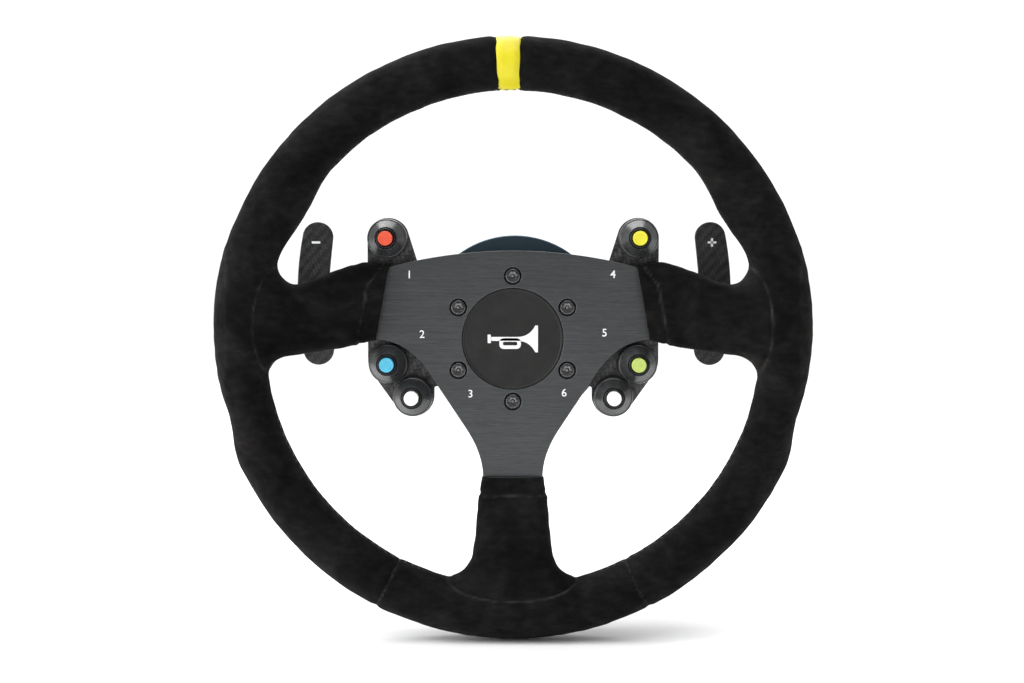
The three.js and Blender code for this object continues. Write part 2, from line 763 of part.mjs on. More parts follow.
// One carbon plate behind each side spoke, with a round pod under each button.
function bracket() {
  const [upper, outer, inner] = BUTTONS;
  const { inner: root, low, high, shoulder } = BRACKET_ROOT;
  const cornerZ = outer.z + 1.2;
  const slope = radians(325);
  const outline = new THREE.Shape();
  outline.moveTo(root, low);
  outline.lineTo(inner.x - POD_RADIUS, inner.z + 6);
  outline.lineTo(inner.x - POD_RADIUS, inner.z);
  outline.absarc(inner.x, inner.z, POD_RADIUS, Math.PI, slope, false);
  outline.absarc(upper.x, cornerZ, POD_RADIUS, slope, 2 * Math.PI, false);
  outline.absarc(upper.x, upper.z, POD_RADIUS, 0, radians(157), false);
  outline.lineTo(...shoulder);
  outline.lineTo(root, high);
  outline.closePath();
  const body = sheet(outline, BRACKET_REAR, BRACKET_FRONT);
  const through = [BRACKET_REAR - 1, BRACKET_FRONT + 1];
  const seats = BUTTONS.map(({ x, z }) => rod(SWITCH_SEAT, ...through, x, z, 12));
  const holes = boltHoles(BOLT_HOLE, ...through, [-30, 30]);
  return cut(body, ...seats, ...holes);
}

// A steep cone from a round shoulder up to the button's bore.
function bezel() {
  const rear = BRACKET_FRONT + GAP;
  const switchBore = SWITCH_SEAT + 1.3;
  const floor = BUTTON_SEAT - 0.6;
  return turnedRing([
    [BEZEL_RADIUS, rear],
    [BEZEL_RADIUS, BEZEL_SHOULDER],
    [BEZEL_RADIUS - 1, BEZEL_SHOULDER + 1.4],
    [6.6, BEZEL_FRONT - 0.6],
    [6, BEZEL_FRONT],
    [BUTTON_BORE, BEZEL_FRONT],
    [BUTTON_BORE, floor],
    [switchBore, floor],
    [switchBore, rear],
  ], 16);
}

function buttonCap() {
  const radius = BUTTON_BORE - GAP;
  return turned([
    [0, BUTTON_SEAT],
    [radius, BUTTON_SEAT],
    [radius, BUTTON_FRONT - 0.6],
    [radius - 0.6, BUTTON_FRONT],
    [0, BUTTON_FRONT],
  ], 14);
}

function buttonSwitch() {
  const nut = 7;
  const front = BUTTON_SEAT - 2;
  return turned([
    [0, 110],
    [4.5, 110],
    [4.5, 116],
    [nut, 116],
    [nut, BRACKET_REAR - GAP],
    [SWITCH_SEAT - GAP, BRACKET_REAR - GAP],
    [SWITCH_SEAT - GAP, front],
    [0, front],
  ], 12);
}

function addButtons(side, s) {
  BUTTONS.forEach(({ place, x, z }) => {
    const button = new THREE.Group();
    button.position.set(s * x, 0, z);
    wheel.add(button);
    const cap = { color: BUTTON_COLOURS[side][place], roughness: 0.4, metalness: 0 };
    addPart(button, `button_bezel_${side}_${place}`, bezel(), MATERIALS.blackPlastic);
    addPart(button, `button_switch_${side}_${place}`, buttonSwitch(), MATERIALS.blackPlastic);
    addPart(button, `button_cap_${side}_${place}`, buttonCap(), cap);
  });
}

// ---------------------------------------------------------------- shift paddles

const TONGUE = { inner: 43, outer: 56, half: 7, front: 111 };

// Black block that carries the paddle's pivot; a slot takes the lever's tongue.
function shifterHousing() {
  const front = ADAPTOR_REAR - GAP;
  const { inner, outer, half, slotInner, slotOuter, slotFront } = HOUSING;
  const slotHalf = TONGUE.half + 0.4;
  const body = block([inner, HOUSING_REAR, -half], [outer, front, half]);
  const slot = block([slotInner, HOUSING_REAR - 1, -slotHalf], [slotOuter, slotFront, slotHalf]);
  const bores = [PIVOT_X, STOP_PIN_X].map((x) => uprightPin(PIN_RADIUS + 0.2, 3 * half, x, PIVOT_DEPTH));
  return cut(body, slot, ...bores);
}

function dowel(x) {
  return uprightPin(PIN_RADIUS, 2 * HOUSING.half + 0.6, x, PIVOT_DEPTH);
}

const CARRIER = { inner: 29.4, outer: 58.5, half: 16 };

// Metal lever under the blade, with the tongue that turns on the pivot dowel.
function paddleLever() {
  const rear = PADDLE_REAR + CARBON_THICKNESS + GAP;
  const front = HOUSING_REAR - 2;
  const carrier = block([CARRIER.inner, rear, -CARRIER.half], [CARRIER.outer, front, CARRIER.half]);
  const { inner, outer, half } = TONGUE;
  const tongue = block([inner, rear + 1, -half], [outer, TONGUE.front, half]);
  const bore = uprightPin(PIN_RADIUS + 0.2, 50, PIVOT_X, PIVOT_DEPTH, 24);
  return cut(unite(carrier, tongue), bore);
}

const BLADE = { top: 66, bottom: -18, half: 9, x: 115, bow: 6.6 };
const BLADE_ARM = { half: 15, rise: [78, 1.5], low: 7, high: 33 };

// Carbon blade: a bowed upright finger pad on an arm that runs in to the lever.
function paddleBlade() {
  const { top, bottom, half, x, bow } = BLADE;
  const root = CARRIER.inner + 0.6;
  const neck = CARRIER.outer - 0.5;
  const padInner = x - half;
  const middle = (top + bottom) / 2;
  const outline = new THREE.Shape();
  outline.moveTo(root, -BLADE_ARM.half);
  outline.lineTo(neck, -BLADE_ARM.half);
  outline.lineTo(...BLADE_ARM.rise);
  outline.lineTo(padInner, BLADE_ARM.low);
  outline.lineTo(padInner, bottom + half);
  outline.absarc(x, bottom + half, half, Math.PI, 2 * Math.PI, false);
  outline.quadraticCurveTo(x + half + bow, middle, x + half, top - half);
  outline.absarc(x, top - half, half, 0, Math.PI, false);
  outline.lineTo(padInner, BLADE_ARM.high);
  outline.lineTo(neck, BLADE_ARM.half);
  outline.lineTo(root, BLADE_ARM.half);
  outline.closePath();
  return sheet(outline, PADDLE_REAR, PADDLE_REAR + CARBON_THICKNESS, 6);
}

function addPaddle(side, flip) {
  addPart(wheel, `shifter_housing_${side}`, flip(shifterHousing()), MATERIALS.blackAluminium);
  addPart(wheel, `shifter_pivot_pin_${side}`, flip(dowel(PIVOT_X)), MATERIALS.steel);
  addPart(wheel, `shifter_stop_pin_${side}`, flip(dowel(STOP_PIN_X)), MATERIALS.steel);
  const paddle = new THREE.Group();
  wheel.add(paddle);
  addPart(paddle, `paddle_lever_${side}`, flip(paddleLever()), MATERIALS.gunAluminium);
  addPart(paddle, `paddle_blade_${side}`, flip(paddleBlade()), MATERIALS.carbon);
}

[['left', -1], ['right', 1]].forEach(([side, s]) => {
  const flip = (body) => (s > 0 ? body : body.mirror([1, 0, 0]));
  addPart(wheel, `button_bracket_${side}`, flip(bracket()), MATERIALS.carbon);
  addButtons(side, s);
  addPaddle(side, flip);
});

export default wheelWithHub;
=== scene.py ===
"""Looks of the quick-release steering wheel, built over its CAD frame.

Lengths are in mm up to to_mesh(). Points are (x, depth, z): depth is the distance from the
column boss's rear face towards the driver, so a point at depth d has y = -d.
"""

import math
from contextlib import contextmanager

import bmesh
import bpy
import numpy as np
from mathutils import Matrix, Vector


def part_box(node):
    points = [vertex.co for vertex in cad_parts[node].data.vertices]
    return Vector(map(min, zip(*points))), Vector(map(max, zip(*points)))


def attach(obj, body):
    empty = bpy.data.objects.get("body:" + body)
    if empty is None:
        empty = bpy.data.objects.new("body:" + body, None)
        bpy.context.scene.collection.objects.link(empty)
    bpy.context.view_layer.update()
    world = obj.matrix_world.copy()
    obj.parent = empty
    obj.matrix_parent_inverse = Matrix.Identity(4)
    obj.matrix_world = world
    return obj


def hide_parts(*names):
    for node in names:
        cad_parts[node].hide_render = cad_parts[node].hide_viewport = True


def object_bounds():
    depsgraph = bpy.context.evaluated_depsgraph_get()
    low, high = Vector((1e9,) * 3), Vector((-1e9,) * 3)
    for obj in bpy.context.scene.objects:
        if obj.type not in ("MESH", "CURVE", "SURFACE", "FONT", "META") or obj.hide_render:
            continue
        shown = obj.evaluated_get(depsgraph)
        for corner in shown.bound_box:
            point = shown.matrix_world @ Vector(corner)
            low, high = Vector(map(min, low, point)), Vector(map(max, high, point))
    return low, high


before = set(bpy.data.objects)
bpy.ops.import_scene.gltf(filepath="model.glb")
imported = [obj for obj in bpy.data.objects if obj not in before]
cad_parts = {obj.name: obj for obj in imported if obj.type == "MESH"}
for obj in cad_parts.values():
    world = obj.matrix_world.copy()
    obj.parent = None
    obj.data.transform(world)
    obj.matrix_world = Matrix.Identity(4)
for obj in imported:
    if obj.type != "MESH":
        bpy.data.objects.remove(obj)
CAD_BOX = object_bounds()

MM = 0.001
GAP = 0.3                           # between neighbouring pieces


# ------------------------------------------------------------------ sizes from the CAD frame

def low(node):
    return [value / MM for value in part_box(node)[0]]


def high(node):
    return [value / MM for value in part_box(node)[1]]


def front(node):
    return -low(node)[1]


def rear(node):
    return -high(node)[1]


RIM_RADIUS = high("centre_mark")[2]
RIM_WIDTH = 29.2
RIM_DEPTH = 31.0
RIM_CENTRE = RIM_RADIUS - RIM_WIDTH / 2
SKIN = 1.2

PLATE_FRONT = front("centre_cap") + 0.1
PLATE_THICKNESS = 4.0
PLATE_REAR = PLATE_FRONT - PLATE_THICKNESS
PLATE_MIDDLE = (PLATE_REAR + PLATE_FRONT) / 2
RIM_MIDDLE = PLATE_FRONT + 13
CAP_RADIUS = high("centre_cap")[0]
BOLT_CIRCLE = 35.0
BOLT_ANGLES = [90 + 60 * k for k in range(6)]

BRACKET_REAR = rear("button_bracket_left")
BRACKET_FRONT = front("button_bracket_left")
BLADE_REAR = rear("paddle_blade_left")
BLADE_FRONT = front("paddle_blade_left")

SIDES = {"left": -1, "right": 1}


def middle(node):
    return [(a + b) / 2 for a, b in zip(low(node), high(node))]


BUTTONS = {
    place: (middle(f"button_cap_right_{place}")[0], middle(f"button_cap_right_{place}")[2])
    for place in ("upper", "outer", "inner")
}


def smoothstep(t):
    t = np.clip(t, 0, 1)
    return t * t * (3 - 2 * t)


def mix(a, b, t):
    return a + (b - a) * t


def on_circle(radius, degrees):
    angle = math.radians(degrees)
    return radius * math.cos(angle), radius * math.sin(angle)


# ------------------------------------------------------------------ mesh helpers

@contextmanager
def editing(mesh):
    """Opens a mesh for changes and writes them back."""
    build = bmesh.new()
    build.from_mesh(mesh)
    yield build
    build.to_mesh(mesh)
    build.free()


def linked(name, data):
    """A new object in the scene."""
    holder = bpy.data.objects.new(name, data)
    bpy.context.scene.collection.objects.link(holder)
    return holder


def to_mesh(name, points, faces):
    """A mesh from (x, depth, z) points in mm, its faces turned outwards."""
    mesh = bpy.data.meshes.new(name)
    places = [(x * MM, -depth * MM, z * MM) for x, depth, z in points]
    mesh.from_pydata(places, [], faces)
    return facing_out(mesh)


def facing_out(mesh):
    with editing(mesh) as build:
        bmesh.ops.recalc_face_normals(build, faces=build.faces)
    return mesh


def joined(*meshes):
    build = bmesh.new()
    for mesh in meshes:
        build.from_mesh(mesh)
    build.to_mesh(meshes[0])
    build.free()
    return meshes[0]


def soften(points, radius, closed, steps=3):
    """The same line with each clear corner rounded."""
    count = len(points)
    result = []
    for i, here in enumerate(points):
        if not closed and i in (0, count - 1):
            result.append(tuple(here))
            continue
        here = np.array(here, float)
        back = np.array(points[i - 1], float) - here
        ahead = np.array(points[(i + 1) % count], float) - here
        reach_back, reach_ahead = np.linalg.norm(back), np.linalg.norm(ahead)
        straight = float(back @ ahead) / max(reach_back * reach_ahead, 1e-9)
        trim = min(radius, 0.45 * reach_back, 0.45 * reach_ahead)
        if straight < -0.97 or trim < 0.01:
            result.append(tuple(here))
            continue
        start = here + back / reach_back * trim
        end = here + ahead / reach_ahead * trim
        for k in range(steps + 1):
            t = k / steps
            result.append(tuple((1 - t) ** 2 * start + 2 * t * (1 - t) * here + t * t * end))
    return result


def quads(rows, columns, closed=False):
    """Faces that join rows of points into a tube, or into a ring where closed."""
    faces = []
    for i in range(rows if closed else rows - 1):
        a, b = i * columns, (i + 1) % rows * columns
        for k in range(columns):
            n = (k + 1) % columns
            faces.append((a + k, a + n, b + n, b + k))
    return faces


def lathe(profile, radius=0.3, closed=True, segments=96, at=(0, 0)):
    """A shape turned about the line parallel to the steering axis through at.

    profile rows are (radius, depth); a closed one makes a ring, an open one starts and ends
    on the axis.
    """
    line = soften(profile, radius, closed)
    points = []
    for r, depth in line:
        for k in range(segments):
            x, z = on_circle(r, 360 * k / segments)
            points.append((at[0] + x, depth, at[1] + z))
    mesh = to_mesh("turned", points, quads(len(line), segments, closed))
    with editing(mesh) as build:
        bmesh.ops.remove_doubles(build, verts=build.verts, dist=1e-6)
    return mesh


class Outline:
    """A flat outline drawn like a pen path, in mm across and up."""

    def __init__(self, x, z):
        self.points = [(x, z)]

    def line(self, x, z):
        self.points.append((x, z))
        return self

    def curve(self, control, end, steps=20):
        x0, z0 = self.points[-1]
        for k in range(1, steps + 1):
            t = k / steps
            weights = ((1 - t) ** 2, 2 * t * (1 - t), t * t)
            x = weights[0] * x0 + weights[1] * control[0] + weights[2] * end[0]
            z = weights[0] * z0 + weights[1] * control[1] + weights[2] * end[1]
            self.points.append((x, z))
        return self

    def arc(self, centre, radius, start, end, steps=24):
        for k in range(steps + 1):
            x, z = on_circle(radius, mix(start, end, k / steps))
            self.points.append((centre[0] + x, centre[1] + z))
        return self


def circle(x, z, radius, steps=48):
    return [(x + a, z + b) for a, b in (on_circle(radius, 360 * k / steps) for k in range(steps))]


def holes_round(ring, angles, radius, steps=24):
    """Round holes at the given angles on a ring about the steering axis."""
    return [circle(*on_circle(ring, angle), radius, steps) for angle in angles]


def rectangle(x0, z0, x1, z1, radius=0.0):
    corners = [(x0, z0), (x1, z0), (x1, z1), (x0, z1)]
    return soften(corners, radius, True, 5) if radius else corners


def plate(outlines, back, face, bevel=0.25, upright=False):
    """Flat sheet with softened edges; the first outline is its edge and the others are holes.

    upright sheets lie in the X-depth plane, and back and face are then heights.
    """
    flat = bpy.data.curves.new("outline", "CURVE")
    flat.dimensions = "2D"
    flat.fill_mode = "BOTH"
    flat.bevel_depth = bevel
    flat.bevel_resolution = 2
    flat.offset = -bevel
    flat.extrude = (face - back) / 2 - bevel
    for outline in outlines:
        spline = flat.splines.new("POLY")
        spline.points.add(len(outline) - 1)
        for point, (x, z) in zip(spline.points, outline):
            point.co = (x, z, 0, 1)
        spline.use_cyclic_u = True
    holder = bpy.data.objects.new("outline", flat)
    mesh = bpy.data.meshes.new_from_object(holder)
    bpy.data.objects.remove(holder)
    half = (face + back) / 2
    for vertex in mesh.vertices:
        a, b, c = vertex.co
        place = (a, b, c + half) if upright else (a, c + half, b)
        vertex.co = (place[0] * MM, -place[1] * MM, place[2] * MM)
    with editing(mesh) as build:
        bmesh.ops.remove_doubles(build, verts=build.verts, dist=2e-6)
        bmesh.ops.recalc_face_normals(build, faces=build.faces)
    return mesh


def slab(lowest, highest, bevel=0.4):
    """A box with softened edges between two (x, depth, z) corners."""
    build = bmesh.new()
    bmesh.ops.create_cube(build, size=1)
    for vertex in build.verts:
        place = [mix(a, b, t + 0.5) for a, b, t in zip(lowest, highest, vertex.co)]
        vertex.co = (place[0] * MM, -place[1] * MM, place[2] * MM)
    if bevel:
        bmesh.ops.bevel(build, geom=build.edges[:], offset=bevel * MM, segments=3, affect="EDGES")
    bmesh.ops.recalc_face_normals(build, faces=build.faces)
    mesh = bpy.data.meshes.new("slab")
    build.to_mesh(mesh)
    build.free()
    return mesh


def thread(path, radius, sides=6):
    """Points and faces of a round thread along a path, closed at both ends."""
    path = np.array(path, float)
    points = []
    for i, here in enumerate(path):
        along = path[min(i + 1, len(path) - 1)] - path[max(i - 1, 0)]
        along /= np.linalg.norm(along)
        side = np.cross(along, (0.31, 0.52, 0.79))
        side /= np.linalg.norm(side)
        up = np.cross(along, side)
        for k in range(sides):
            a, b = on_circle(radius, 360 * k / sides)
            points.append(here + side * a + up * b)
    faces = quads(len(path), sides)
    last = (len(path) - 1) * sides
    faces.append(tuple(range(sides)))
    faces.append(tuple(last + k for k in range(sides)))
    return points, faces


def threads(paths, radius):
    """One mesh of many separate threads."""
    points, faces = [], []
    for path in paths:
        more, sides = thread(path, radius)
        faces += [tuple(k + len(points) for k in face) for face in sides]
        points += more
    return to_mesh("threads", points, faces)


def toothed(inner, outer, teeth, width, steps=4):
    """A round outline of radius outer with square slots down to radius inner."""
    half = math.degrees(math.asin(width / 2 / outer))
    points = []
    for i in range(teeth):
        turn = 360 * i / teeth
        following = 360 * (i + 1) / teeth
        points.append(on_circle(inner, turn - half * 0.95 * outer / inner))
        points.append(on_circle(inner, turn + half * 0.95 * outer / inner))
        for k in range(steps + 1):
            points.append(on_circle(outer, mix(turn + half, following - half, k / steps)))
    return points


def mirrored(mesh, side):
    """The left-hand copy of a right-hand mesh; the right-hand one as it is."""
    if SIDES[side] < 0:
        for vertex in mesh.vertices:
            vertex.co.x = -vertex.co.x
        mesh.flip_normals()
    return mesh


def piece(name, mesh, look, nodes=(), body="wheel", crisp=35):
    """A shown piece: it rides a CAD body and stands for CAD nodes."""
    shown = linked(name, mesh)
    if not mesh.materials:
        mesh.materials.append(look)
    mesh.shade_smooth()
    mesh.set_sharp_from_angle(angle=math.radians(crisp))
    weighted = shown.modifiers.new("flat faces stay flat", "WEIGHTED_NORMAL")
    weighted.keep_sharp = True
    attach(shown, body)
    if nodes:
        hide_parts(*nodes)
    return shown


# ------------------------------------------------------------------ materials

class Look:
    """A material's nodes: a Principled shader fed by procedural patterns in object space."""

    def __init__(self, name, roughness, metallic=0.0):
        self.material = bpy.data.materials.new(name)
        self.material.use_nodes = True
        self.tree = self.material.node_tree
        self.tree.nodes.clear()
        self.shader = self.node("ShaderNodeBsdfPrincipled")
        output = self.node("ShaderNodeOutputMaterial")
        self.tree.links.new(self.shader.outputs[0], output.inputs[0])
        self.shader.inputs["Roughness"].default_value = roughness
        self.shader.inputs["Metallic"].default_value = metallic
        self.place = self.node("ShaderNodeTexCoord").outputs["Object"]

    def node(self, kind, **settings):
        made = self.tree.nodes.new(kind)
        for key, value in settings.items():
            setattr(made, key, value)
        return made

    def put(self, socket, value):
        """Sets a socket to a plain value, or links it to another node's output."""
        if isinstance(value, bpy.types.NodeSocket):
            self.tree.links.new(value, socket)
        else:
            socket.default_value = value

    def set(self, **values):
        for key, value in values.items():
            self.put(self.shader.inputs[key.replace("_", " ")], value)
        return self

    def scaled(self, scale, turn=(0, 0, 0)):
        mapping = self.node("ShaderNodeMapping")
        self.put(mapping.inputs["Vector"], self.place)
        mapping.inputs["Scale"].default_value = scale
        mapping.inputs["Rotation"].default_value = [math.radians(a) for a in turn]
        return mapping.outputs[0]

    def noise(self, scale, detail=3.0, roughness=0.55, vector=None, distortion=0.0):
        """Cloudy pattern; scale counts features per metre."""
        pattern = self.node("ShaderNodeTexNoise")
        self.put(pattern.inputs["Vector"], self.place if vector is None else vector)
        pattern.inputs["Scale"].default_value = scale
        pattern.inputs["Detail"].default_value = detail
        pattern.inputs["Roughness"].default_value = roughness
        pattern.inputs["Distortion"].default_value = distortion
        return pattern.outputs[0]

    def cells(self, scale, feature="F1", vector=None):
        pattern = self.node("ShaderNodeTexVoronoi", feature=feature)
        self.put(pattern.inputs["Vector"], self.place if vector is None else vector)
        pattern.inputs["Scale"].default_value = scale
        return pattern.outputs[0]

    def math(self, operation, a, b=0.0, c=0.0):
        made = self.node("ShaderNodeMath", operation=operation)
        for socket, value in zip(made.inputs, (a, b, c)):
            self.put(socket, value)
        return made.outputs[0]

    def spread(self, value, low, high):
        """Maps the middle half of a pattern, 0.3 to 0.7, onto low to high."""
        made = self.node("ShaderNodeMapRange")
        self.put(made.inputs["Value"], value)
        made.inputs["From Min"].default_value = 0.3
        made.inputs["From Max"].default_value = 0.7
        made.inputs["To Min"].default_value = low
        made.inputs["To Max"].default_value = high
        return made.outputs[0]

    def blend(self, share, a, b):
        """Colour a where share is 0 and b where it is 1."""
        made = self.node("ShaderNodeMix", data_type="RGBA")
        self.put(made.inputs[0], share)
        self.put(made.inputs[6], a if isinstance(a, bpy.types.NodeSocket) else (*a, 1))
        self.put(made.inputs[7], b if isinstance(b, bpy.types.NodeSocket) else (*b, 1))
        return made.outputs[2]

    def colour(self, share, a, b):
        self.put(self.shader.inputs["Base Color"], self.blend(share, a, b))
        return self

    def mottled(self, scale, dark, light):
        """A cloudy mix of two close colours."""
        return self.colour(self.spread(self.noise(scale, 4), 0, 1), dark, light)

    def uneven(self, scale, smooth, rough):
        """Roughness that drifts between two values."""
        return self.set(Roughness=self.spread(self.noise(scale, 4), smooth, rough))

    def bump(self, height, distance, strength=1.0):
        """Adds relief of the given depth in metres over any relief set before."""
        made = self.node("ShaderNodeBump")
        self.put(made.inputs["Height"], height)
        made.inputs["Distance"].default_value = distance
        made.inputs["Strength"].default_value = strength
        normal = self.shader.inputs["Normal"]
        if normal.is_linked:
            self.put(made.inputs["Normal"], normal.links[0].from_socket)
        self.put(normal, made.outputs[0])
        return self

    def edges(self, width=0.0006):
        """1 on sharp edges, 0 on open faces, for wear and bare metal."""
        bevel = self.node("ShaderNodeBevel", samples=4)
        bevel.inputs["Radius"].default_value = width
        shape = self.node("ShaderNodeNewGeometry")
        dot = self.node("ShaderNodeVectorMath", operation="DOT_PRODUCT")
        self.put(dot.inputs[0], bevel.outputs[0])
        self.put(dot.inputs[1], shape.outputs["Normal"])
        return self.math("SUBTRACT", 1.0, dot.outputs["Value"])


def suede_look():
    """Napped black suede: soft pile, brushed patches, a faint halo of fibres and a painted highlight
    along its folds.
    """
    look = Look("black suede", 0.95)
    pile = look.noise(2600, 4, 0.7)
    brushed = look.noise(34, 5, 0.62, distortion=0.8)
    strokes = look.noise(120, 4, 0.6, vector=look.scaled((1, 1, 2.2), (0, 35, 0)))
    patches = look.math("MULTIPLY_ADD", brushed, 0.6, look.math("MULTIPLY", strokes, 0.4))
    dark, worn = (0.0009, 0.0009, 0.0009), (0.0185, 0.0176, 0.0172)
    share = look.math("POWER", look.spread(patches, 0.02, 0.95), 1.9)
    # Painted highlight: the suede is lightened along each fold beside a seam, where the fold's edge
    # would catch the light.
    fold_highlight = look.node("ShaderNodeAttribute", attribute_name="fold_highlight")
    base = look.blend(share, dark, worn)
    base = look.blend(fold_highlight.outputs["Fac"], base, (0.040, 0.038, 0.037))
    speck = look.math("MULTIPLY_ADD", look.spread(pile, -0.35, 0.35), 1.0, 0.5)
    look.colour(speck, base, look.blend(0.3, base, (0.015, 0.0143, 0.0141)))
    look.set(Sheen_Weight=look.spread(patches, 0.0, 0.07), Sheen_Roughness=0.42)
    look.set(Specular_IOR_Level=0.06)
    look.shader.inputs["Sheen Tint"].default_value = (0.75, 0.72, 0.70, 1)
    look.bump(brushed, 0.0006, 0.35)
    look.bump(pile, 0.00035, 0.8)
    return look.material


def leather_look():
    """Grained yellow leather for the top centre mark."""
    look = Look("yellow leather", 0.5)
    grain = look.cells(900, "DISTANCE_TO_EDGE")
    shade = look.noise(90, 4)
    look.colour(look.spread(shade, 0.0, 1.0), (0.70, 0.62, 0.006), (0.64, 0.55, 0.004))
    look.set(Roughness=look.spread(look.noise(500), 0.42, 0.58))
    look.bump(grain, 0.00025, 0.5)
    look.bump(look.noise(2500, 3), 0.00008, 0.4)
    return look.material


def thread_look():
    """Dark twisted polyester sewing thread."""
    look = Look("dark thread", 0.6)
    twist = look.noise(1800, 3, vector=look.scaled((1, 3.5, 1), (0, 20, 30)))
    look.colour(look.spread(twist, 0.0, 1.0), (0.010, 0.010, 0.011), (0.045, 0.044, 0.046))
    look.bump(twist, 0.0003, 0.7)
    return look.material


def foam_look():
    """Moulded polyurethane foam."""
    look = Look("moulded foam", 0.9)
    pores = look.cells(1400)
    look.mottled(400, (0.012, 0.012, 0.013), (0.03, 0.03, 0.032))
    look.bump(pores, 0.0004, 0.8)
    return look.material


def brushed_look():
    """Black anodised aluminium sheet, brushed across."""
    look = Look("brushed black aluminium", 0.4, 0.85)
    coarse = look.noise(1, 5, 0.8, vector=look.scaled((32, 32, 1500)))
    fine = look.noise(1, 4, 0.8, vector=look.scaled((150, 150, 5200)))
    cloud = look.noise(22, 3)
    line = look.math("MULTIPLY_ADD", coarse, 0.4, look.math("MULTIPLY", fine, 0.6))
    metal = look.blend(look.spread(line, 0, 1), (0.030, 0.031, 0.032), (0.122, 0.128, 0.131))
    metal = look.blend(look.spread(cloud, 0, 0.35), metal, (0.058, 0.061, 0.063))
    look.colour(look.math("MULTIPLY", look.edges(0.0005), 6.0), metal, (0.22, 0.23, 0.24))
    look.set(Roughness=look.spread(line, 0.50, 0.36), Anisotropic=0.55)
    look.bump(line, 0.00008, 0.7)
    return look.material


def turned_look(name, dark, light, bare, roughness=0.36, ring=5200):
    """Anodised aluminium with the fine rings left by a lathe; bare shows on worn edges."""
    look = Look(name, roughness, 0.9)
    split = look.node("ShaderNodeSeparateXYZ")
    look.put(split.inputs[0], look.place)
    x, y, z = split.outputs
    radius = look.math("SQRT", look.math("ADD", look.math("MULTIPLY", x, x),
                                         look.math("MULTIPLY", z, z)))
    line = look.node("ShaderNodeCombineXYZ")
    look.put(line.inputs[0], look.math("MULTIPLY", radius, ring))
    look.put(line.inputs[1], look.math("MULTIPLY", y, ring))
    rings = look.noise(1.0, 3, 0.7, vector=line.outputs[0])
    cloud = look.noise(45, 4)
    metal = look.blend(look.spread(rings, 0.2, 0.8), dark, light)
    metal = look.blend(look.spread(cloud, 0.0, 0.3), metal, dark)
    look.colour(look.math("MULTIPLY", look.edges(), 5.0), metal, bare)
    look.uneven(160, roughness - 0.06, roughness + 0.08)
    look.bump(rings, 0.00004, 0.35)
    return look.material


def steel_look(name="ground steel", shade=0.52, roughness=0.22):
    look = Look(name, roughness, 1.0)
    cloud = look.noise(700, 4)
    look.colour(look.spread(cloud, 0, 1), (shade, shade, shade * 1.01),
                (shade * 1.2, shade * 1.2, shade * 1.2))
    look.set(Roughness=look.spread(look.noise(260, 5), roughness - 0.05, roughness + 0.12))
    look.bump(look.noise(3000, 3), 0.00003, 0.4)
    return look.material


def black_steel_look():
    """Oil-blackened screw steel, worn at its edges."""
    look = Look("black oxide steel", 0.38, 0.9)
    cloud = look.noise(900, 4)
    black = look.blend(look.spread(cloud, 0, 1), (0.030, 0.030, 0.031), (0.085, 0.085, 0.088))
    look.colour(look.math("MULTIPLY", look.edges(0.0003), 4.0), black, (0.42, 0.42, 0.43))
    look.uneven(500, 0.14, 0.32)
    look.bump(look.noise(3500, 3), 0.00004, 0.5)
    return look.material


def carbon_look(name, tow, light):
    """Twill-woven carbon sheet under satin resin: floats of two, stepping on one. One direction of
    tows is painted lighter than the other as painted sheen, and the dips between tows are painted
    darker as painted shade.
    """
    look = Look(name, 0.42)
    split = look.node("ShaderNodeSeparateXYZ")
    look.put(split.inputs[0], look.scaled((1 / (tow * MM), 1, 1 / (tow * MM)), (0, 4, 0)))
    u, v = split.outputs["X"], split.outputs["Z"]
    cells = look.math("SUBTRACT", look.math("FLOOR", u), look.math("FLOOR", v))
    step = look.math("FLOORED_MODULO", cells, 4.0)
    warp = look.math("LESS_THAN", step, 1.5)
    crown_u = look.math("SINE", look.math("MULTIPLY", look.math("FRACT", u), math.pi))
    crown_v = look.math("SINE", look.math("MULTIPLY", look.math("FRACT", v), math.pi))
    height = look.math("ADD", look.math("MULTIPLY", warp, crown_u),
                       look.math("MULTIPLY", look.math("SUBTRACT", 1.0, warp), crown_v))
    along = look.noise(1, 3, 0.7, vector=look.scaled((5200, 300, 300)))
    across = look.noise(1, 3, 0.7, vector=look.scaled((300, 300, 5200)))
    streak = look.math("ADD", look.math("MULTIPLY", warp, along),
                       look.math("MULTIPLY", look.math("SUBTRACT", 1.0, warp), across))
    blotch = look.noise(330, 3, 0.6)
    # Painted sheen: the warp tows are painted lighter than the weft, for the way the light catches
    # fibres running one way.
    share = look.math("MULTIPLY_ADD", warp, 0.5, look.spread(blotch, -0.25, 0.55))
    weave_with_painted_sheen = look.blend(share, (0.007, 0.007, 0.008), (light, light, light))
    weave_with_painted_sheen = look.blend(look.spread(streak, 0.0, 0.6), weave_with_painted_sheen, (0.016, 0.016, 0.017))
    # Painted shade: the colour darkens where each tow's crown falls away towards its neighbours.
    look.colour(look.math("MULTIPLY", look.math("SUBTRACT", 1.0, height), 0.6), weave_with_painted_sheen,
                (0.006, 0.006, 0.006))
    look.set(Roughness=look.spread(blotch, 0.34, 0.5), Metallic=0.25)
    look.set(Coat_Weight=0.25, Coat_Roughness=0.25)
    look.bump(height, 0.0002, 0.5)
    return look.material


def plastic_look(name="black plastic", dark=(0.012, 0.012, 0.013), light=(0.022, 0.023, 0.025),
                 roughness=0.42):
    """Moulded plastic with a fine spark-eroded texture."""
    look = Look(name, roughness)
    look.set(Specular_IOR_Level=0.3)
    look.mottled(120, dark, light)
    look.uneven(700, roughness - 0.06, roughness + 0.08)
    look.bump(look.noise(4200, 3), 0.00008, 0.45)
    return look.material


def bezel_look():
    """Satin black anodised bezel: brighter than plastic where it faces the light."""
    look = Look("satin black bezel", 0.45, 0.3)
    look.mottled(300, (0.030, 0.031, 0.032), (0.055, 0.057, 0.059))
    look.uneven(900, 0.24, 0.36)
    look.bump(look.noise(3600, 3), 0.00006, 0.5)
    return look.material


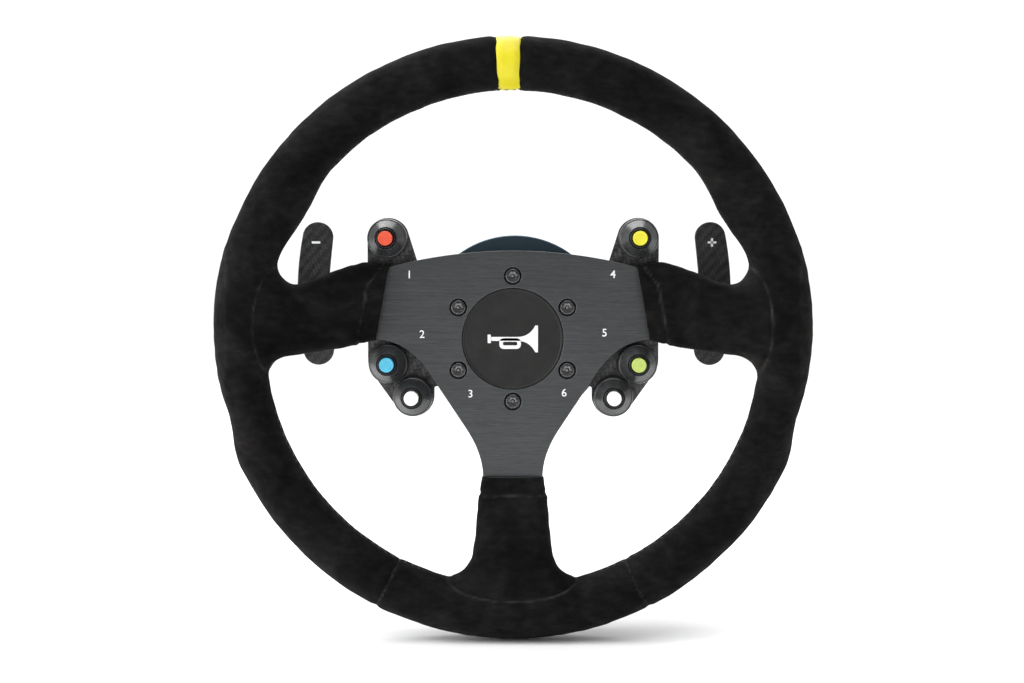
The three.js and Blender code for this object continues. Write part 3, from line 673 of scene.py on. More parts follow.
def cap_look(name, colour):
    """Coloured moulded push button, a little worn and dusty in tone."""
    look = Look(name, 0.38)
    lighter = tuple(min(1.0, c * 1.12 + 0.02) for c in colour)
    look.mottled(320, colour, lighter)
    look.uneven(1100, 0.32, 0.46)
    look.set(Subsurface_Weight=0.08, Subsurface_Scale=0.001)
    look.bump(look.noise(2600, 3), 0.00006, 0.4)
    return look.material


def paint_look():
    """White screen-printed ink, thin at its grain."""
    look = Look("white print", 0.5)
    look.mottled(1500, (0.78, 0.79, 0.80), (0.92, 0.92, 0.92))
    look.bump(look.noise(3000, 3), 0.00004, 0.4)
    return look.material


SUEDE = suede_look()
LEATHER = leather_look()
THREAD = thread_look()
FOAM = foam_look()
BRUSHED = brushed_look()
BLUE_GREY = turned_look("blue-grey anodised", (0.048, 0.078, 0.104), (0.080, 0.120, 0.152),
                        (0.40, 0.43, 0.46))
BLACK_TURNED = turned_look("black anodised", (0.018, 0.019, 0.020), (0.036, 0.037, 0.039),
                           (0.15, 0.15, 0.16), 0.40)
STEEL = steel_look()
BLACK_STEEL = black_steel_look()
SOCKET_STEEL = steel_look("bare socket", 0.15, 0.22)
CARBON = carbon_look("carbon twill", 2.3, 0.15)
FINE_CARBON = carbon_look("fine carbon twill", 1.6, 0.055)
PLASTIC = plastic_look()
CAP_PLASTIC = plastic_look("centre cap", (0.0095, 0.0093, 0.0090), (0.017, 0.0167, 0.0163), 0.50)
RUBBER = plastic_look("black rubber collar", (0.007, 0.007, 0.008), (0.012, 0.012, 0.013), 0.28)
BEZEL = bezel_look()
PRINT = paint_look()
CAP_COLOURS = {
    "left_upper": ("red_cap", (0.68, 0.075, 0.026)),
    "left_outer": ("blue_cap", (0.070, 0.43, 0.62)),
    "left_inner": ("white_cap", (0.93, 0.93, 0.92)),
    "right_upper": ("yellow_cap", (0.72, 0.66, 0.030)),
    "right_outer": ("green_cap", (0.44, 0.56, 0.12)),
    "right_inner": ("white_cap", (0.93, 0.93, 0.92)),
}
CAP_LOOKS = {place: cap_look(f"{place} cap", colour) for place, (_, colour) in CAP_COLOURS.items()}


# ------------------------------------------------------------------ suede covering

# Edges of the padded spokes: distance out from the steering axis, low edge, high edge.
SIDE_SPOKE = [
    (72.4, 0, 41.5), (82, -2, 42.8), (92, -4.4, 40.5), (103, -6.2, 36), (113, -7.4, 31.6),
    (121, -8.4, 29.9), (127, -9.3, 33), (132.5, -12.3, 40), (146, -20, 44),
]
BOTTOM_SPOKE = [
    (77.4, -17, 17), (87, -19, 19), (103, -20.4, 20.4), (118.5, -22, 22),
    (126, -24.6, 24.6), (131.5, -31, 31), (146, -38, 38),
]
EDGE_X, EDGE_LEAN = 76.0, 0.18      # plate and suede meet at x = EDGE_X - EDGE_LEAN * z
STEM_END = -77.4
PADDING_THIN, PADDING_THICK = 6.5, 12.0
SEAM_ANGLES = {"lower_left": 242.6, "lower_right": 297.4, "mark_left": 93.1, "mark_right": 88.4}
TONGUE_HALF, TONGUE_TOP, TONGUE_DROP = 36.0, -128.0, 13.0
SIDE_LAP_START, SIDE_LAP_MIDDLE, SIDE_LAP_HALF, SIDE_LAP_REACH = 122.0, 8.0, 34.0, 17.5
CUFF = 9.0                          # from the plate's edge to the seam across a spoke


def smooth_edges(stations):
    """Finely spaced low and high edges with the corners between stations rounded off."""
    rows = np.array(stations, float)
    out = np.arange(rows[0, 0] - 12, rows[-1, 0] + 12, 0.5)
    weights = np.exp(-0.5 * (np.arange(-14, 15) / 5.0) ** 2)
    weights /= weights.sum()
    edges = []
    for column in (1, 2):
        line = np.interp(out, rows[:, 0], rows[:, column])
        edges.append(np.convolve(np.pad(line, 14, "edge"), weights, "valid"))
    return out, edges[0], edges[1]


SIDE_EDGES = smooth_edges(SIDE_SPOKE)
BOTTOM_EDGES = smooth_edges(BOTTOM_SPOKE)


def rim_edges(x, z):
    """Outer and inner radius of the rim in the direction of each point."""
    above = np.degrees(np.arcsin(z / np.maximum(np.hypot(x, z), 1e-6)))
    below = -above
    rising = 3.9 * np.clip((below + 15) / 30, 0, None) ** 1.5
    dip = np.where(below < 15, rising, 3.9 * (1 - smoothstep((below - 15) / 10)))
    bulge = 3.6 * np.cos(np.clip(np.abs(above - 31) / 13, 0, 1) * math.pi / 2) ** 2
    return RIM_RADIUS - dip, RIM_RADIUS - RIM_WIDTH - bulge


def rim_field(p):
    x, depth, z = p.T
    outer, inner = rim_edges(x, z)
    half = (outer - inner) / 2
    across = (np.hypot(x, z) - (outer + inner) / 2) / half
    along = (depth - RIM_MIDDLE) / (RIM_DEPTH / 2)
    return (np.hypot(across, along) - 1) * half


def spoke_field(out, across, depth, edges):
    table, lows, highs = edges
    low_edge, high_edge = np.interp(out, table, lows), np.interp(out, table, highs)
    t = smoothstep((out - 76) / 70)
    half_depth = mix(PADDING_THIN, PADDING_THICK, t)
    centre = mix(PLATE_MIDDLE, RIM_MIDDLE, t)
    half = (high_edge - low_edge) / 2
    rounding = 0.92 * half_depth
    a = np.abs(across - (low_edge + high_edge) / 2) - (half - rounding)
    b = np.abs(depth - centre) - (half_depth - rounding)
    wall = np.hypot(np.clip(a, 0, None), np.clip(b, 0, None)) + np.minimum(np.maximum(a, b), 0)
    ends = np.maximum(table[0] + 4 - out, out - 150)
    return np.maximum(wall - rounding, ends)


def meet(a, b, fillet):
    """The union of two fields with a rounded corner between them."""
    h = np.clip(fillet - np.abs(a - b), 0, None) / fillet
    return np.minimum(a, b) - h * h * fillet / 4


def radial_seam(degrees):
    """Distance from a seam that crosses the rim at an angle."""
    across = math.radians(degrees + 90)

    def field(p):
        x, depth, z = p.T
        wander = 0.25 * np.sin(depth * 0.45 + degrees) + 0.15 * np.sin(depth * 1.1)
        plane = x * math.cos(across) + z * math.sin(across) + wander
        same_side = x * math.sin(across) - z * math.cos(across) > 0
        return np.where(same_side, plane, 99.0)

    return field


def lap_seam(across, beyond, half, drop):
    """Distance from the rounded edge where a spoke's cover laps onto the rim."""
    beyond = np.maximum(beyond, 0)
    k = np.maximum(np.hypot(across / half, beyond / drop), 1e-6)
    slope = np.hypot(across / half ** 2, beyond / drop ** 2) / k
    return (k - 1) / np.maximum(slope, 1e-6), beyond


def tongue_seam(p):
    """Distance from the edge of the bottom spoke's cover where it laps onto the rim."""
    x, _, z = p.T
    lap, beyond = lap_seam(x, TONGUE_TOP - z, TONGUE_HALF, TONGUE_DROP)
    return np.where(z < -100, np.where(beyond > 0, lap, np.abs(x) - TONGUE_HALF), 99.0)


def side_lap(p):
    """Distance from the seam round the root of each side spoke."""
    x, _, z = p.T
    across, beyond = z - SIDE_LAP_MIDDLE, np.abs(x) - SIDE_LAP_START
    lap, _ = lap_seam(across, beyond, SIDE_LAP_HALF, SIDE_LAP_REACH)
    return np.where(np.abs(x) > SIDE_LAP_START + 3, lap, 99.0)


def plate_edge(p):
    """Distance out from the slanting line where plate and suede meet."""
    x, _, z = p.T
    on_spoke = (np.abs(x) < 105) & (np.abs(z - 20) < 45)
    return np.where(on_spoke, np.abs(x) - (EDGE_X - EDGE_LEAN * z), 99.0)


def stem_edge(p):
    x, _, z = p.T
    on_stem = (np.abs(x) < 40) & (z < -60) & (z > -112)
    return np.where(on_stem, STEM_END - z, 99.0)


RADIAL_SEAMS = {name: radial_seam(angle) for name, angle in SEAM_ANGLES.items()}


def spokes_field(p):
    x, depth, z = p.T
    side = spoke_field(np.abs(x), z, depth, SIDE_EDGES)
    bottom = spoke_field(-z, x, depth, BOTTOM_EDGES)
    return np.minimum(side, bottom)


def groove(distance, depth, width):
    return depth * np.exp(-(distance / width) ** 2)


def seams(p):
    """How far the sewn seams draw the suede in."""
    x, depth, z = p.T
    drawn = sum(groove(field(p), 0.7, 1.5) for field in RADIAL_SEAMS.values())
    drawn = drawn + groove(tongue_seam(p), 0.6, 1.5)
    drawn = drawn + groove(side_lap(p), 0.45, 1.2) * smoothstep((depth - RIM_MIDDLE + 6) / 8)
    for cuff in (plate_edge(p) - CUFF * cuff_taper(p), stem_edge(p) - CUFF):
        drawn = drawn + groove(cuff, 0.75, 1.0) - groove(cuff - 1.6, 0.3, 1.2)
    _, inner = rim_edges(x, z)
    inside = smoothstep((inner + 8 - np.hypot(x, z)) / 4)
    clear = smoothstep((spokes_field(p) - 4) / 10)
    drawn = drawn + groove(depth - RIM_MIDDLE, 0.75, 1.6) * inside * clear
    behind = smoothstep((RIM_MIDDLE - 6 - depth) / 6)
    rows = (np.abs(x) < 126) & (np.abs(z - 20) < 45)
    drawn = drawn + np.where(rows, groove(z - spoke_middle(x), 0.75, 1.5), 0.0) * behind
    foot = (np.abs(x) < 30) & (z < -60) & (z > -126)
    drawn = drawn + np.where(foot, groove(x, 0.75, 1.5), 0.0) * behind
    return drawn


def fold(p):
    """1 along each fold beside a seam across a spoke or the rim, 0 elsewhere: where the suede gets a
    painted highlight of the fold's edge catching the light.
    """
    lines = [plate_edge(p) - CUFF * cuff_taper(p) - 0.9, stem_edge(p) - CUFF - 0.9,
             tongue_seam(p) - 0.8, side_lap(p) - 0.7, RADIAL_SEAMS["lower_left"](p) - 0.8,
             RADIAL_SEAMS["lower_right"](p) + 0.8]
    broken = np.clip(0.55 + 0.45 * waves(p, 9, 12), 0.1, 1)
    return np.clip(sum(groove(line, 1.0, 0.42) for line in lines), 0, 1) * broken


def cuff_taper(p):
    """Draws the seam across a side spoke in towards the plate at its upper edge."""
    return 0.3 + 0.7 * smoothstep((41 - p[:, 2]) / 13)


def spoke_middle(x):
    table, lows, highs = SIDE_EDGES
    return (np.interp(np.abs(x), table, lows) + np.interp(np.abs(x), table, highs)) / 2


def waves(p, length, seed):
    """Slow swelling between about -1 and 1."""
    choice = np.random.RandomState(seed)
    total = np.zeros(len(p))
    for _ in range(6):
        direction = choice.normal(size=3)
        direction /= np.linalg.norm(direction) * length * choice.uniform(0.7, 1.4)
        total += np.sin(2 * math.pi * (p @ direction) + choice.uniform(0, 2 * math.pi))
    return total / 3


def cover_field(p):
    body = meet(rim_field(p), spokes_field(p), 9.0)
    near_spoke = smoothstep(1 - (spokes_field(p) - 2) / 22)
    swelling = 0.16 * waves(p, 30, 3) + 0.10 * waves(p, 11, 8)
    creases = 0.16 * near_spoke * waves(p, 7, 5)
    return body + seams(p) + swelling + creases


def settle(points, field, rounds=4):
    """Moves points onto the field's zero surface."""
    step = 0.15
    for _ in range(rounds):
        value = field(points)
        slope = np.stack([
            (field(points + offset) - field(points - offset)) / (2 * step)
            for offset in np.eye(3) * step
        ], 1)
        size = np.maximum((slope ** 2).sum(1), 0.05)
        move = slope * (value / size)[:, None]
        length = np.maximum(np.linalg.norm(move, axis=1), 1e-9)
        points = points - move * np.minimum(1, 1.6 / length)[:, None]
    return points


def mesh_points(mesh):
    flat = np.empty(len(mesh.vertices) * 3)
    mesh.vertices.foreach_get("co", flat)
    x, y, z = flat.reshape(-1, 3).T
    return np.stack([x, -y, z], 1) / MM


def set_mesh_points(mesh, p):
    flat = np.stack([p[:, 0], -p[:, 1], p[:, 2]], 1) * MM
    mesh.vertices.foreach_set("co", flat.ravel())
    mesh.update()


def rough_rim():
    section = [
        (RIM_CENTRE + RIM_WIDTH / 2 * math.cos(a), RIM_MIDDLE + RIM_DEPTH / 2 * math.sin(a))
        for a in np.linspace(0, 2 * math.pi, 28, endpoint=False)
    ]
    return lathe(section, radius=0, segments=144)


def rough_spoke(stations, place):
    """A loft through the stations, which the field then refines."""
    sides = 20
    rows = [(stations[0][0] - 9, *stations[0][1:])] + stations[1:]
    points = []
    for out, low_edge, high_edge in rows:
        t = float(smoothstep((out - 76) / 70))
        half_depth = mix(PADDING_THIN, PADDING_THICK, t)
        centre = mix(PLATE_MIDDLE, RIM_MIDDLE, t)
        for k in range(sides):
            a, b = on_circle(1, 360 * k / sides)
            across = (low_edge + high_edge) / 2 + (high_edge - low_edge) / 2 * a
            points.append(place(out, across, centre + half_depth * b))
    faces = [tuple(range(sides)), tuple(range(len(points) - sides, len(points)))]
    faces += quads(len(rows), sides)
    return to_mesh("spoke", points, faces)


def remeshed(mesh, voxel):
    holder = linked("remesh", mesh)
    modifier = holder.modifiers.new("remesh", "REMESH")
    modifier.mode = "VOXEL"
    modifier.voxel_size = voxel * MM
    graph = bpy.context.evaluated_depsgraph_get()
    result = bpy.data.meshes.new_from_object(holder.evaluated_get(graph))
    bpy.data.objects.remove(holder)
    return result


def relaxed(mesh, points, rounds):
    """Evens out the spacing of the points."""
    pairs = np.empty(len(mesh.edges) * 2, int)
    mesh.edges.foreach_get("vertices", pairs)
    pairs = pairs.reshape(-1, 2)
    ends = np.concatenate([pairs[:, 0], pairs[:, 1]])
    others = np.concatenate([pairs[:, 1], pairs[:, 0]])
    count = np.maximum(np.bincount(ends, minlength=len(points)), 1)
    for _ in range(rounds):
        total = np.stack([
            np.bincount(ends, weights=points[others, k], minlength=len(points)) for k in range(3)
        ], 1)
        points = 0.5 * points + 0.5 * total / count[:, None]
    return points


def cover_mesh(voxel=1.35):
    """The whole outer surface of the suede as one closed mesh."""
    rough = joined(
        rough_rim(),
        rough_spoke(SIDE_SPOKE, lambda out, across, depth: (out, depth, across)),
        rough_spoke(SIDE_SPOKE, lambda out, across, depth: (-out, depth, across)),
        rough_spoke(BOTTOM_SPOKE, lambda out, across, depth: (across, depth, -out)),
    )
    mesh = remeshed(rough, voxel)
    points = mesh_points(mesh)
    points = relaxed(mesh, points, 3)
    points = settle(points, cover_field)
    points = relaxed(mesh, points, 1)
    points = settle(points, cover_field, 2)
    set_mesh_points(mesh, points)
    return mesh


def build_points(build):
    places = np.array([vertex.co for vertex in build.verts]).reshape(-1, 3)
    return np.stack([places[:, 0], -places[:, 1], places[:, 2]], 1) / MM


def cut_along(build, field):
    """Splits faces so that edges run along the line where the field is zero."""
    build.verts.index_update()
    value = field(build_points(build))
    edges = list(build.edges)
    ends = np.array([[v.index for v in edge.verts] for edge in edges])
    a, b = value[ends[:, 0]], value[ends[:, 1]]
    near = (np.abs(a) < 5) & (np.abs(b) < 5)
    marked = set()
    for i in np.flatnonzero((a * b < 0) & near):
        t = float(a[i] / (a[i] - b[i]))
        first, second = edges[i].verts
        if 0.1 < t < 0.9:
            vertex = bmesh.utils.edge_split(edges[i], first, t)[1]
        else:
            vertex = first if t <= 0.1 else second
            vertex.co = first.co.lerp(second.co, t)
        marked.add(vertex)
    bmesh.ops.connect_verts(build, verts=list(marked))


def panels(p):
    """Which piece of suede covers each point; an empty name inside the plate's edge."""
    x, _, z = p.T
    side = {name: field(p) for name, field in RADIAL_SEAMS.items()}
    names = np.where(x < 0, "rim_cover_left", "rim_cover_right")
    marked = (side["mark_right"] > 0) & (side["mark_left"] < 0) & (np.abs(x) < 30) & (z > 100)
    right = (side["lower_right"] > 0) & (side["lower_right"] < 90)
    bottom = (z <= -60) & (side["lower_left"] > 0) & ~right
    lapped = bottom & ((z > -100) | (tongue_seam(p) < 0))
    names = np.where(marked, "centre_mark", names)
    names = np.where(bottom, "rim_cover_bottom", names)
    names = np.where(lapped, "spoke_cover_bottom", names)
    return np.where((plate_edge(p) < 0) | (stem_edge(p) < 0), "", names)


def make_covering():
    build = bmesh.new()
    build.from_mesh(cover_mesh())
    for field in (*RADIAL_SEAMS.values(), tongue_seam, plate_edge, stem_edge):
        cut_along(build, field)
    centres = np.array([face.calc_center_median() for face in build.faces]) / MM
    names = panels(centres * (1, -1, 1))
    for name in sorted(set(names) - {""}):
        panel = build.copy()
        panel.faces.ensure_lookup_table()
        others = [panel.faces[i] for i in np.flatnonzero(names != name)]
        bmesh.ops.delete(panel, geom=others, context="FACES")
        mesh = bpy.data.meshes.new(name)
        panel.to_mesh(mesh)
        panel.free()
        # Painted highlight: marks where the suede's colour is lightened along each fold.
        fold_highlight_layer = mesh.attributes.new("fold_highlight", "FLOAT", "POINT")
        fold_highlight_layer.data.foreach_set("value", fold(mesh_points(mesh)).astype(np.float32))
        yellow = name == "centre_mark"
        cover = piece(f"{name}_suede" if not yellow else "centre_mark_leather", mesh,
                      LEATHER if yellow else SUEDE, [name],
                      crisp=180)
        skin = cover.modifiers.new("skin", "SOLIDIFY")
        skin.thickness = SKIN * MM
        skin.offset = -1
        cover.modifiers.remove(cover.modifiers["flat faces stay flat"])
    build.free()


STITCH = 0.36                       # thread radius


def rim_stitches():
    """Cross stitches that close the suede along the inside of the rim."""
    paths = []
    pitch = 1.75
    for start, end in ((25, 155), (197, 249), (291, 343)):
        for k in range(int((end - start) / pitch) + 1):
            angle = start + k * pitch + 0.12 * math.sin(k * 2.3)
            x, z = on_circle(1, angle)
            inner = float(rim_edges(np.array([x]), np.array([z]))[1][0])
            path = []
            for t in (-1, -0.8, -0.3, 0.3, 0.8, 1):
                lift = 0.55 * (1 - abs(t) ** 3) - 0.95
                turned = math.radians(angle + 0.55 * t)
                radius = inner + 0.15 * t * t - lift
                path.append((radius * math.cos(turned), RIM_MIDDLE + 2.3 * t,
                             radius * math.sin(turned)))
            paths.append(path)
    return paths


def spoke_stitches():
    """Cross stitches up the back of each spoke."""
    lines = []
    for s in (-1, 1):
        lines.append([(s * out, float(spoke_middle(out))) for out in np.arange(80, 124, 4.2)])
    lines.append([(0.0, -out) for out in np.arange(81, 122, 4.2)])
    paths = []
    for line in lines:
        upright = line[0][0] == 0
        for x, z in line:
            ends = []
            for t in (-1, -0.8, -0.3, 0.3, 0.8, 1):
                shift = 2.2 * t
                slant = 0.8 * t
                at = (x + shift, z + slant) if upright else (x + slant, z + shift)
                ends.append((*at, t))
            probe = np.array([(a, PLATE_REAR - 6, b) for a, b, _ in ends])
            depth = on_back(probe)
            paths.append([
                (a, d + 0.5 - 0.85 * (1 - abs(t) ** 3), b) for (a, b, t), d in zip(ends, depth)
            ])
    return paths


def on_back(p):
    """Depth of the covering's rear surface under each point."""
    near, far = np.full(len(p), 110.0), np.full(len(p), RIM_MIDDLE)
    for _ in range(24):
        depth = (near + far) / 2
        outside = cover_field(np.stack([p[:, 0], depth, p[:, 2]], 1)) > 0
        near, far = np.where(outside, depth, near), np.where(outside, far, depth)
    return far


def make_stitching():
    piece("rim_stitching", threads(rim_stitches() + spoke_stitches(), STITCH), THREAD,
          crisp=60)


def foam_core():
    """The CAD foam stays as it is: only its ends show, beside the plate."""
    finish_node("rim_foam", FOAM)


def finish_node(node, look):
    """Gives a CAD node that keeps its own shape its finish."""
    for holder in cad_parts[node].material_slots:
        holder.material = look


# ------------------------------------------------------------------ spoke plate and hub front

def half_plate():
    """The right half of the visible plate, from its top round to the foot of the stem."""
    line = Outline(0, 49.0)
    line.curve((34, 49), (68, 40.3))
    line.line(EDGE_X - EDGE_LEAN * 36 + 3, 37.0)
    line.line(82, 34)
    line.line(82, 4)
    line.line(EDGE_X + 2, 0.4)
    line.line(EDGE_X - 0.6, -0.2)
    line.curve((56, -2), (44.3, -22.6))
    line.line(26.2, -50)
    line.curve((16.9, -64), (16.7, STEM_END + 0.4))
    line.line(14, STEM_END - 6)
    return line.points


def plate_outline():
    right = half_plate()
    left = [(-x, z) for x, z in reversed(right[1:])]
    return soften(right + left, 1.2, True)


def hidden_frame():
    """The ring and straps inside the foam that carry the rim."""
    ring = lathe([(143.5, RIM_MIDDLE - 2), (154.5, RIM_MIDDLE - 2),
                  (154.5, RIM_MIDDLE + 2), (143.5, RIM_MIDDLE + 2)], 0.3, segments=144)
    straps = []
    for degrees, shift in ((0, 14.5), (180, 14.5), (270, 0)):
        bar = slab((79, -2, -11), (151, 2, 11), 0.5)
        along, across = on_circle(1, degrees)
        for vertex in bar.vertices:
            out, y, side = vertex.co / MM
            depth = PLATE_MIDDLE - y + (RIM_MIDDLE - PLATE_MIDDLE) * (out - 82) / 67
            offset = side + shift if degrees != 270 else side
            x = along * out if degrees != 270 else offset
            z = offset if degrees != 270 else across * out
            vertex.co = (x * MM, -depth * MM, z * MM)
        straps.append(facing_out(bar))
    return joined(ring, *straps)


def spoke_plate():
    """Top layer with open counterbores over a thin floor with the bolt holes."""
    floor = PLATE_FRONT - 2.8
    cap_hole = circle(0, 0, CAP_RADIUS + 0.35, 96)
    outline = plate_outline()
    top = plate([outline, cap_hole, *holes_round(BOLT_CIRCLE, BOLT_ANGLES, 5.0, 48)],
                floor, PLATE_FRONT, 0.3)
    base = plate([outline, cap_hole, *holes_round(BOLT_CIRCLE, BOLT_ANGLES, 2.8, 48)],
                 PLATE_REAR, floor, 0.12)
    return joined(top, base, hidden_frame())


def centre_cap():
    """Shallow dished cap with a crisp rim."""
    rim = PLATE_FRONT - 0.1
    return lathe([
        (0, 131), (CAP_RADIUS - 2.1, 131), (CAP_RADIUS - 2.1, rim - 3), (CAP_RADIUS, rim - 2.8),
        (CAP_RADIUS, rim), (CAP_RADIUS - 0.9, rim), (CAP_RADIUS - 1.3, rim - 0.35), (0, rim - 0.35),
    ], 0.25, closed=False)


def hub_bolt(x, z):
    """Domed head with a pinned six-lobed socket and a shank."""
    face = PLATE_FRONT - 0.2
    seat = PLATE_FRONT - 2.6
    lobes = []
    for k in range(72):
        turn = 360 * k / 72
        radius = 2.15 + 0.32 * math.cos(math.radians(6 * turn))
        lobes.append(on_circle(radius, turn))
    socket = [(x + a, z + b) for a, b in lobes]
    collar = plate([circle(x, z, 3.6, 40), socket], face - 1.7, face, 0.2)
    head = lathe([(3.3, seat), (4.6, seat), (4.6, seat + 0.9), (4.2, face - 0.5), (3.3, face - 0.06)],
                 0.35, segments=48, at=(x, z))
    pin = lathe([(0, face - 1.7), (0.9, face - 1.7), (0.9, face - 0.7), (0, face - 0.1)],
                0.15, closed=False, segments=20, at=(x, z))
    floor = lathe([(0.8, face - 1.7), (2.4, face - 1.7), (2.4, face - 1.2), (0.8, face - 1.6)],
                  0, segments=36, at=(x, z))
    shank = lathe([(0, 118.4), (2.2, 118.4), (2.5, 119), (2.5, seat + 0.1), (3.4, seat + 0.1),
                   (3.4, face - 1.7), (0, face - 1.7)], 0.1, closed=False, segments=32, at=(x, z))
    return joined(head, collar, shank), joined(pin, floor)


def make_hub_front():
    piece("spoke_plate_brushed", spoke_plate(), BRUSHED, ["spoke_plate"])
    piece("centre_cap_moulded", centre_cap(), CAP_PLASTIC, ["centre_cap"])
    for i, angle in enumerate(BOLT_ANGLES):
        bolt, socket = hub_bolt(*on_circle(BOLT_CIRCLE, angle))
        piece(f"hub_bolt_{i + 1}_head", bolt, BLACK_STEEL, [f"hub_bolt_{i + 1}"],
              crisp=40)
        piece(f"hub_bolt_{i + 1}_socket", socket, SOCKET_STEEL, crisp=40)


# ------------------------------------------------------------------ button pods

BEZEL_RADIUS = 11.1
BEZEL_SHOULDER = 135.2
COLLAR_FRONT = 144.2
BUTTON_FRONT = front("button_cap_right_upper")
BUTTON_SEAT = rear("button_cap_right_upper")
BUTTON_RADIUS = 4.0
POD_RADIUS = 11.7


def bracket_outline():
    upper, outer, inner = (BUTTONS[place] for place in ("upper", "outer", "inner"))
    line = Outline(24, -25)
    line.line(inner[0] - POD_RADIUS, inner[1] + 5)
    line.arc(inner, POD_RADIUS, 180, 325)
    line.arc((upper[0], outer[1] + 1.2), POD_RADIUS, 325, 360, 10)
    line.arc(upper, POD_RADIUS, 0, 157)
    line.line(52.9, 40)
    line.line(24, 25)
    return soften(line.points, 1.0, True)


def bracket(side):
    holes = [circle(x, z, 6.3, 40) for x, z in BUTTONS.values()]
    bolts = holes_round(BOLT_CIRCLE, (-30, 30), 2.8)
    sheet = plate([bracket_outline(), *holes, *bolts], BRACKET_REAR, BRACKET_FRONT, 0.35)
    return mirrored(sheet, side)


def bezel(x, z):
    """A steep cone from a round shoulder up to a lip round the seal."""
    back = BRACKET_FRONT + GAP
    floor = BUTTON_SEAT - 0.6
    return lathe([
        (BEZEL_RADIUS, back), (BEZEL_RADIUS, BEZEL_SHOULDER),
        (BEZEL_RADIUS - 0.5, BEZEL_SHOULDER + 1.0), (BEZEL_RADIUS - 1.0, BEZEL_SHOULDER + 1.2),
        (6.2, COLLAR_FRONT - 0.9), (5.7, COLLAR_FRONT - 1.3), (5.6, floor), (7.6, floor),
        (7.6, back),
    ], 0.6, segments=72, at=(x, z))


def collar(x, z):
    """Black seal between the bezel and its button."""
    inner = BUTTON_RADIUS + GAP
    floor = BUTTON_SEAT - 0.4
    return lathe([
        (inner, floor), (5.55, floor), (5.55, COLLAR_FRONT - 0.5), (5.2, COLLAR_FRONT),
        (inner + 0.3, COLLAR_FRONT), (inner, COLLAR_FRONT - 0.5),
    ], 0.3, segments=56, at=(x, z))


def button(x, z):
    face = BUTTON_FRONT
    return lathe([
        (0, BUTTON_SEAT), (BUTTON_RADIUS, BUTTON_SEAT), (BUTTON_RADIUS, face),
        (BUTTON_RADIUS - 0.7, face), (BUTTON_RADIUS - 1.0, face - 0.1), (0, face - 0.15),
    ], 0.35, closed=False, segments=48, at=(x, z))


def switch(x, z):
    """Switch body with its nut, and two solder tags at the back."""
    body = lathe([
        (0, 112), (4.5, 112), (4.5, 118), (6, 118), (6, BUTTON_SEAT - 2), (0, BUTTON_SEAT - 2),
    ], 0.3, closed=False, segments=40, at=(x, z))
    nut = plate([circle(x, z, 7.6, 6)], 120.5, BRACKET_REAR - 0.3, 0.4)
    tags = [slab((x + dx - 0.4, 110, z - 1.2), (x + dx + 0.4, 112.4, z + 1.2), 0.15)
            for dx in (-2, 2)]
    return joined(body, nut, *tags)


def make_pods():
    for side, s in SIDES.items():
        piece(f"button_bracket_{side}_twill", bracket(side), CARBON, [f"button_bracket_{side}"])
        for place, (x, z) in BUTTONS.items():
            spot = f"{side}_{place}"
            at = (s * x, z)
            piece(f"button_bezel_{spot}_cone", bezel(*at), BEZEL, [f"button_bezel_{spot}"],
                  crisp=50)
            piece(f"button_collar_{spot}", collar(*at), RUBBER, crisp=50)
            piece(f"button_switch_{spot}_body", switch(*at), PLASTIC, [f"button_switch_{spot}"])
            piece(f"button_cap_{spot}_face", button(*at), CAP_LOOKS[spot], [f"button_cap_{spot}"],
                  body=f"button_{spot}", crisp=50)


# ------------------------------------------------------------------ shift paddles

HOUSING_FRONT = front("shifter_housing_right")
HOUSING_REAR = rear("shifter_housing_right")
HOUSING_HALF = 17.0
PIVOT = (49.6, 106.0)
STOP_PIN = (38.4, 106.0)
BLADE_X, BLADE_HALF, BLADE_BOW = 115.0, 9.0, 6.6
BLADE_TOP = high("paddle_blade_right")[2]
BLADE_BOTTOM = low("paddle_blade_right")[2]
BLADE_WAIST = 2.6                   # how far the pad's inner edge bows at its arm


def blade(side):
    """Bowed carbon finger pad on an arm that runs in to the lever."""
    x, half = BLADE_X, BLADE_HALF
    line = Outline(30, -15)
    line.line(58, -15)
    line.line(78, 1.5)
    line.line(x - half + BLADE_WAIST, 7)
    line.line(x - half, BLADE_BOTTOM + half)
    line.arc((x, BLADE_BOTTOM + half), half, 180, 350)
    line.curve((x + half + BLADE_BOW, (BLADE_TOP + BLADE_BOTTOM) / 2),
               (x + half * math.cos(math.radians(10)), BLADE_TOP - half * 0.83))
    line.arc((x, BLADE_TOP - half), half, 10, 180)
    line.line(x - half + BLADE_WAIST, 33)
    line.line(58, 15)
    line.line(30, 15)
    screws = [circle(a, b, 1.6, 20) for a in (34, 54) for b in (-10.5, 10.5)]
    outline = soften(line.points, 5.0, True, 6)
    return mirrored(plate([outline, *screws], BLADE_REAR, BLADE_FRONT, 0.6), side)


def lever(side):
    """Metal carrier under the blade with the tongue that turns on the pivot pin."""
    back = BLADE_FRONT + GAP
    face = HOUSING_REAR - 2
    pockets = [rectangle(33, -7, 41, 7, 1.5)]
    carrier = plate([rectangle(29.4, -16, 58.5, 16, 2.0), *pockets], back, face, 0.5)
    tongue = plate([soften([(43, back + 1), (56, back + 1), (56, 108), (53, 111), (43, 111)],
                           1.5, True), circle(*PIVOT, 2.2, 32)], -7, 7, 0.4, upright=True)
    return mirrored(joined(carrier, tongue), side)


def blade_screws(side):
    heads = []
    for x in (34, 54):
        for z in (-10.5, 10.5):
            heads.append(cap_screw(x, z, BLADE_REAR - 2.0, BLADE_REAR - 0.05, 2.7, 1.35,
                                   BLADE_FRONT - 0.2, facing=-1))
    return mirrored(joined(*heads), side)


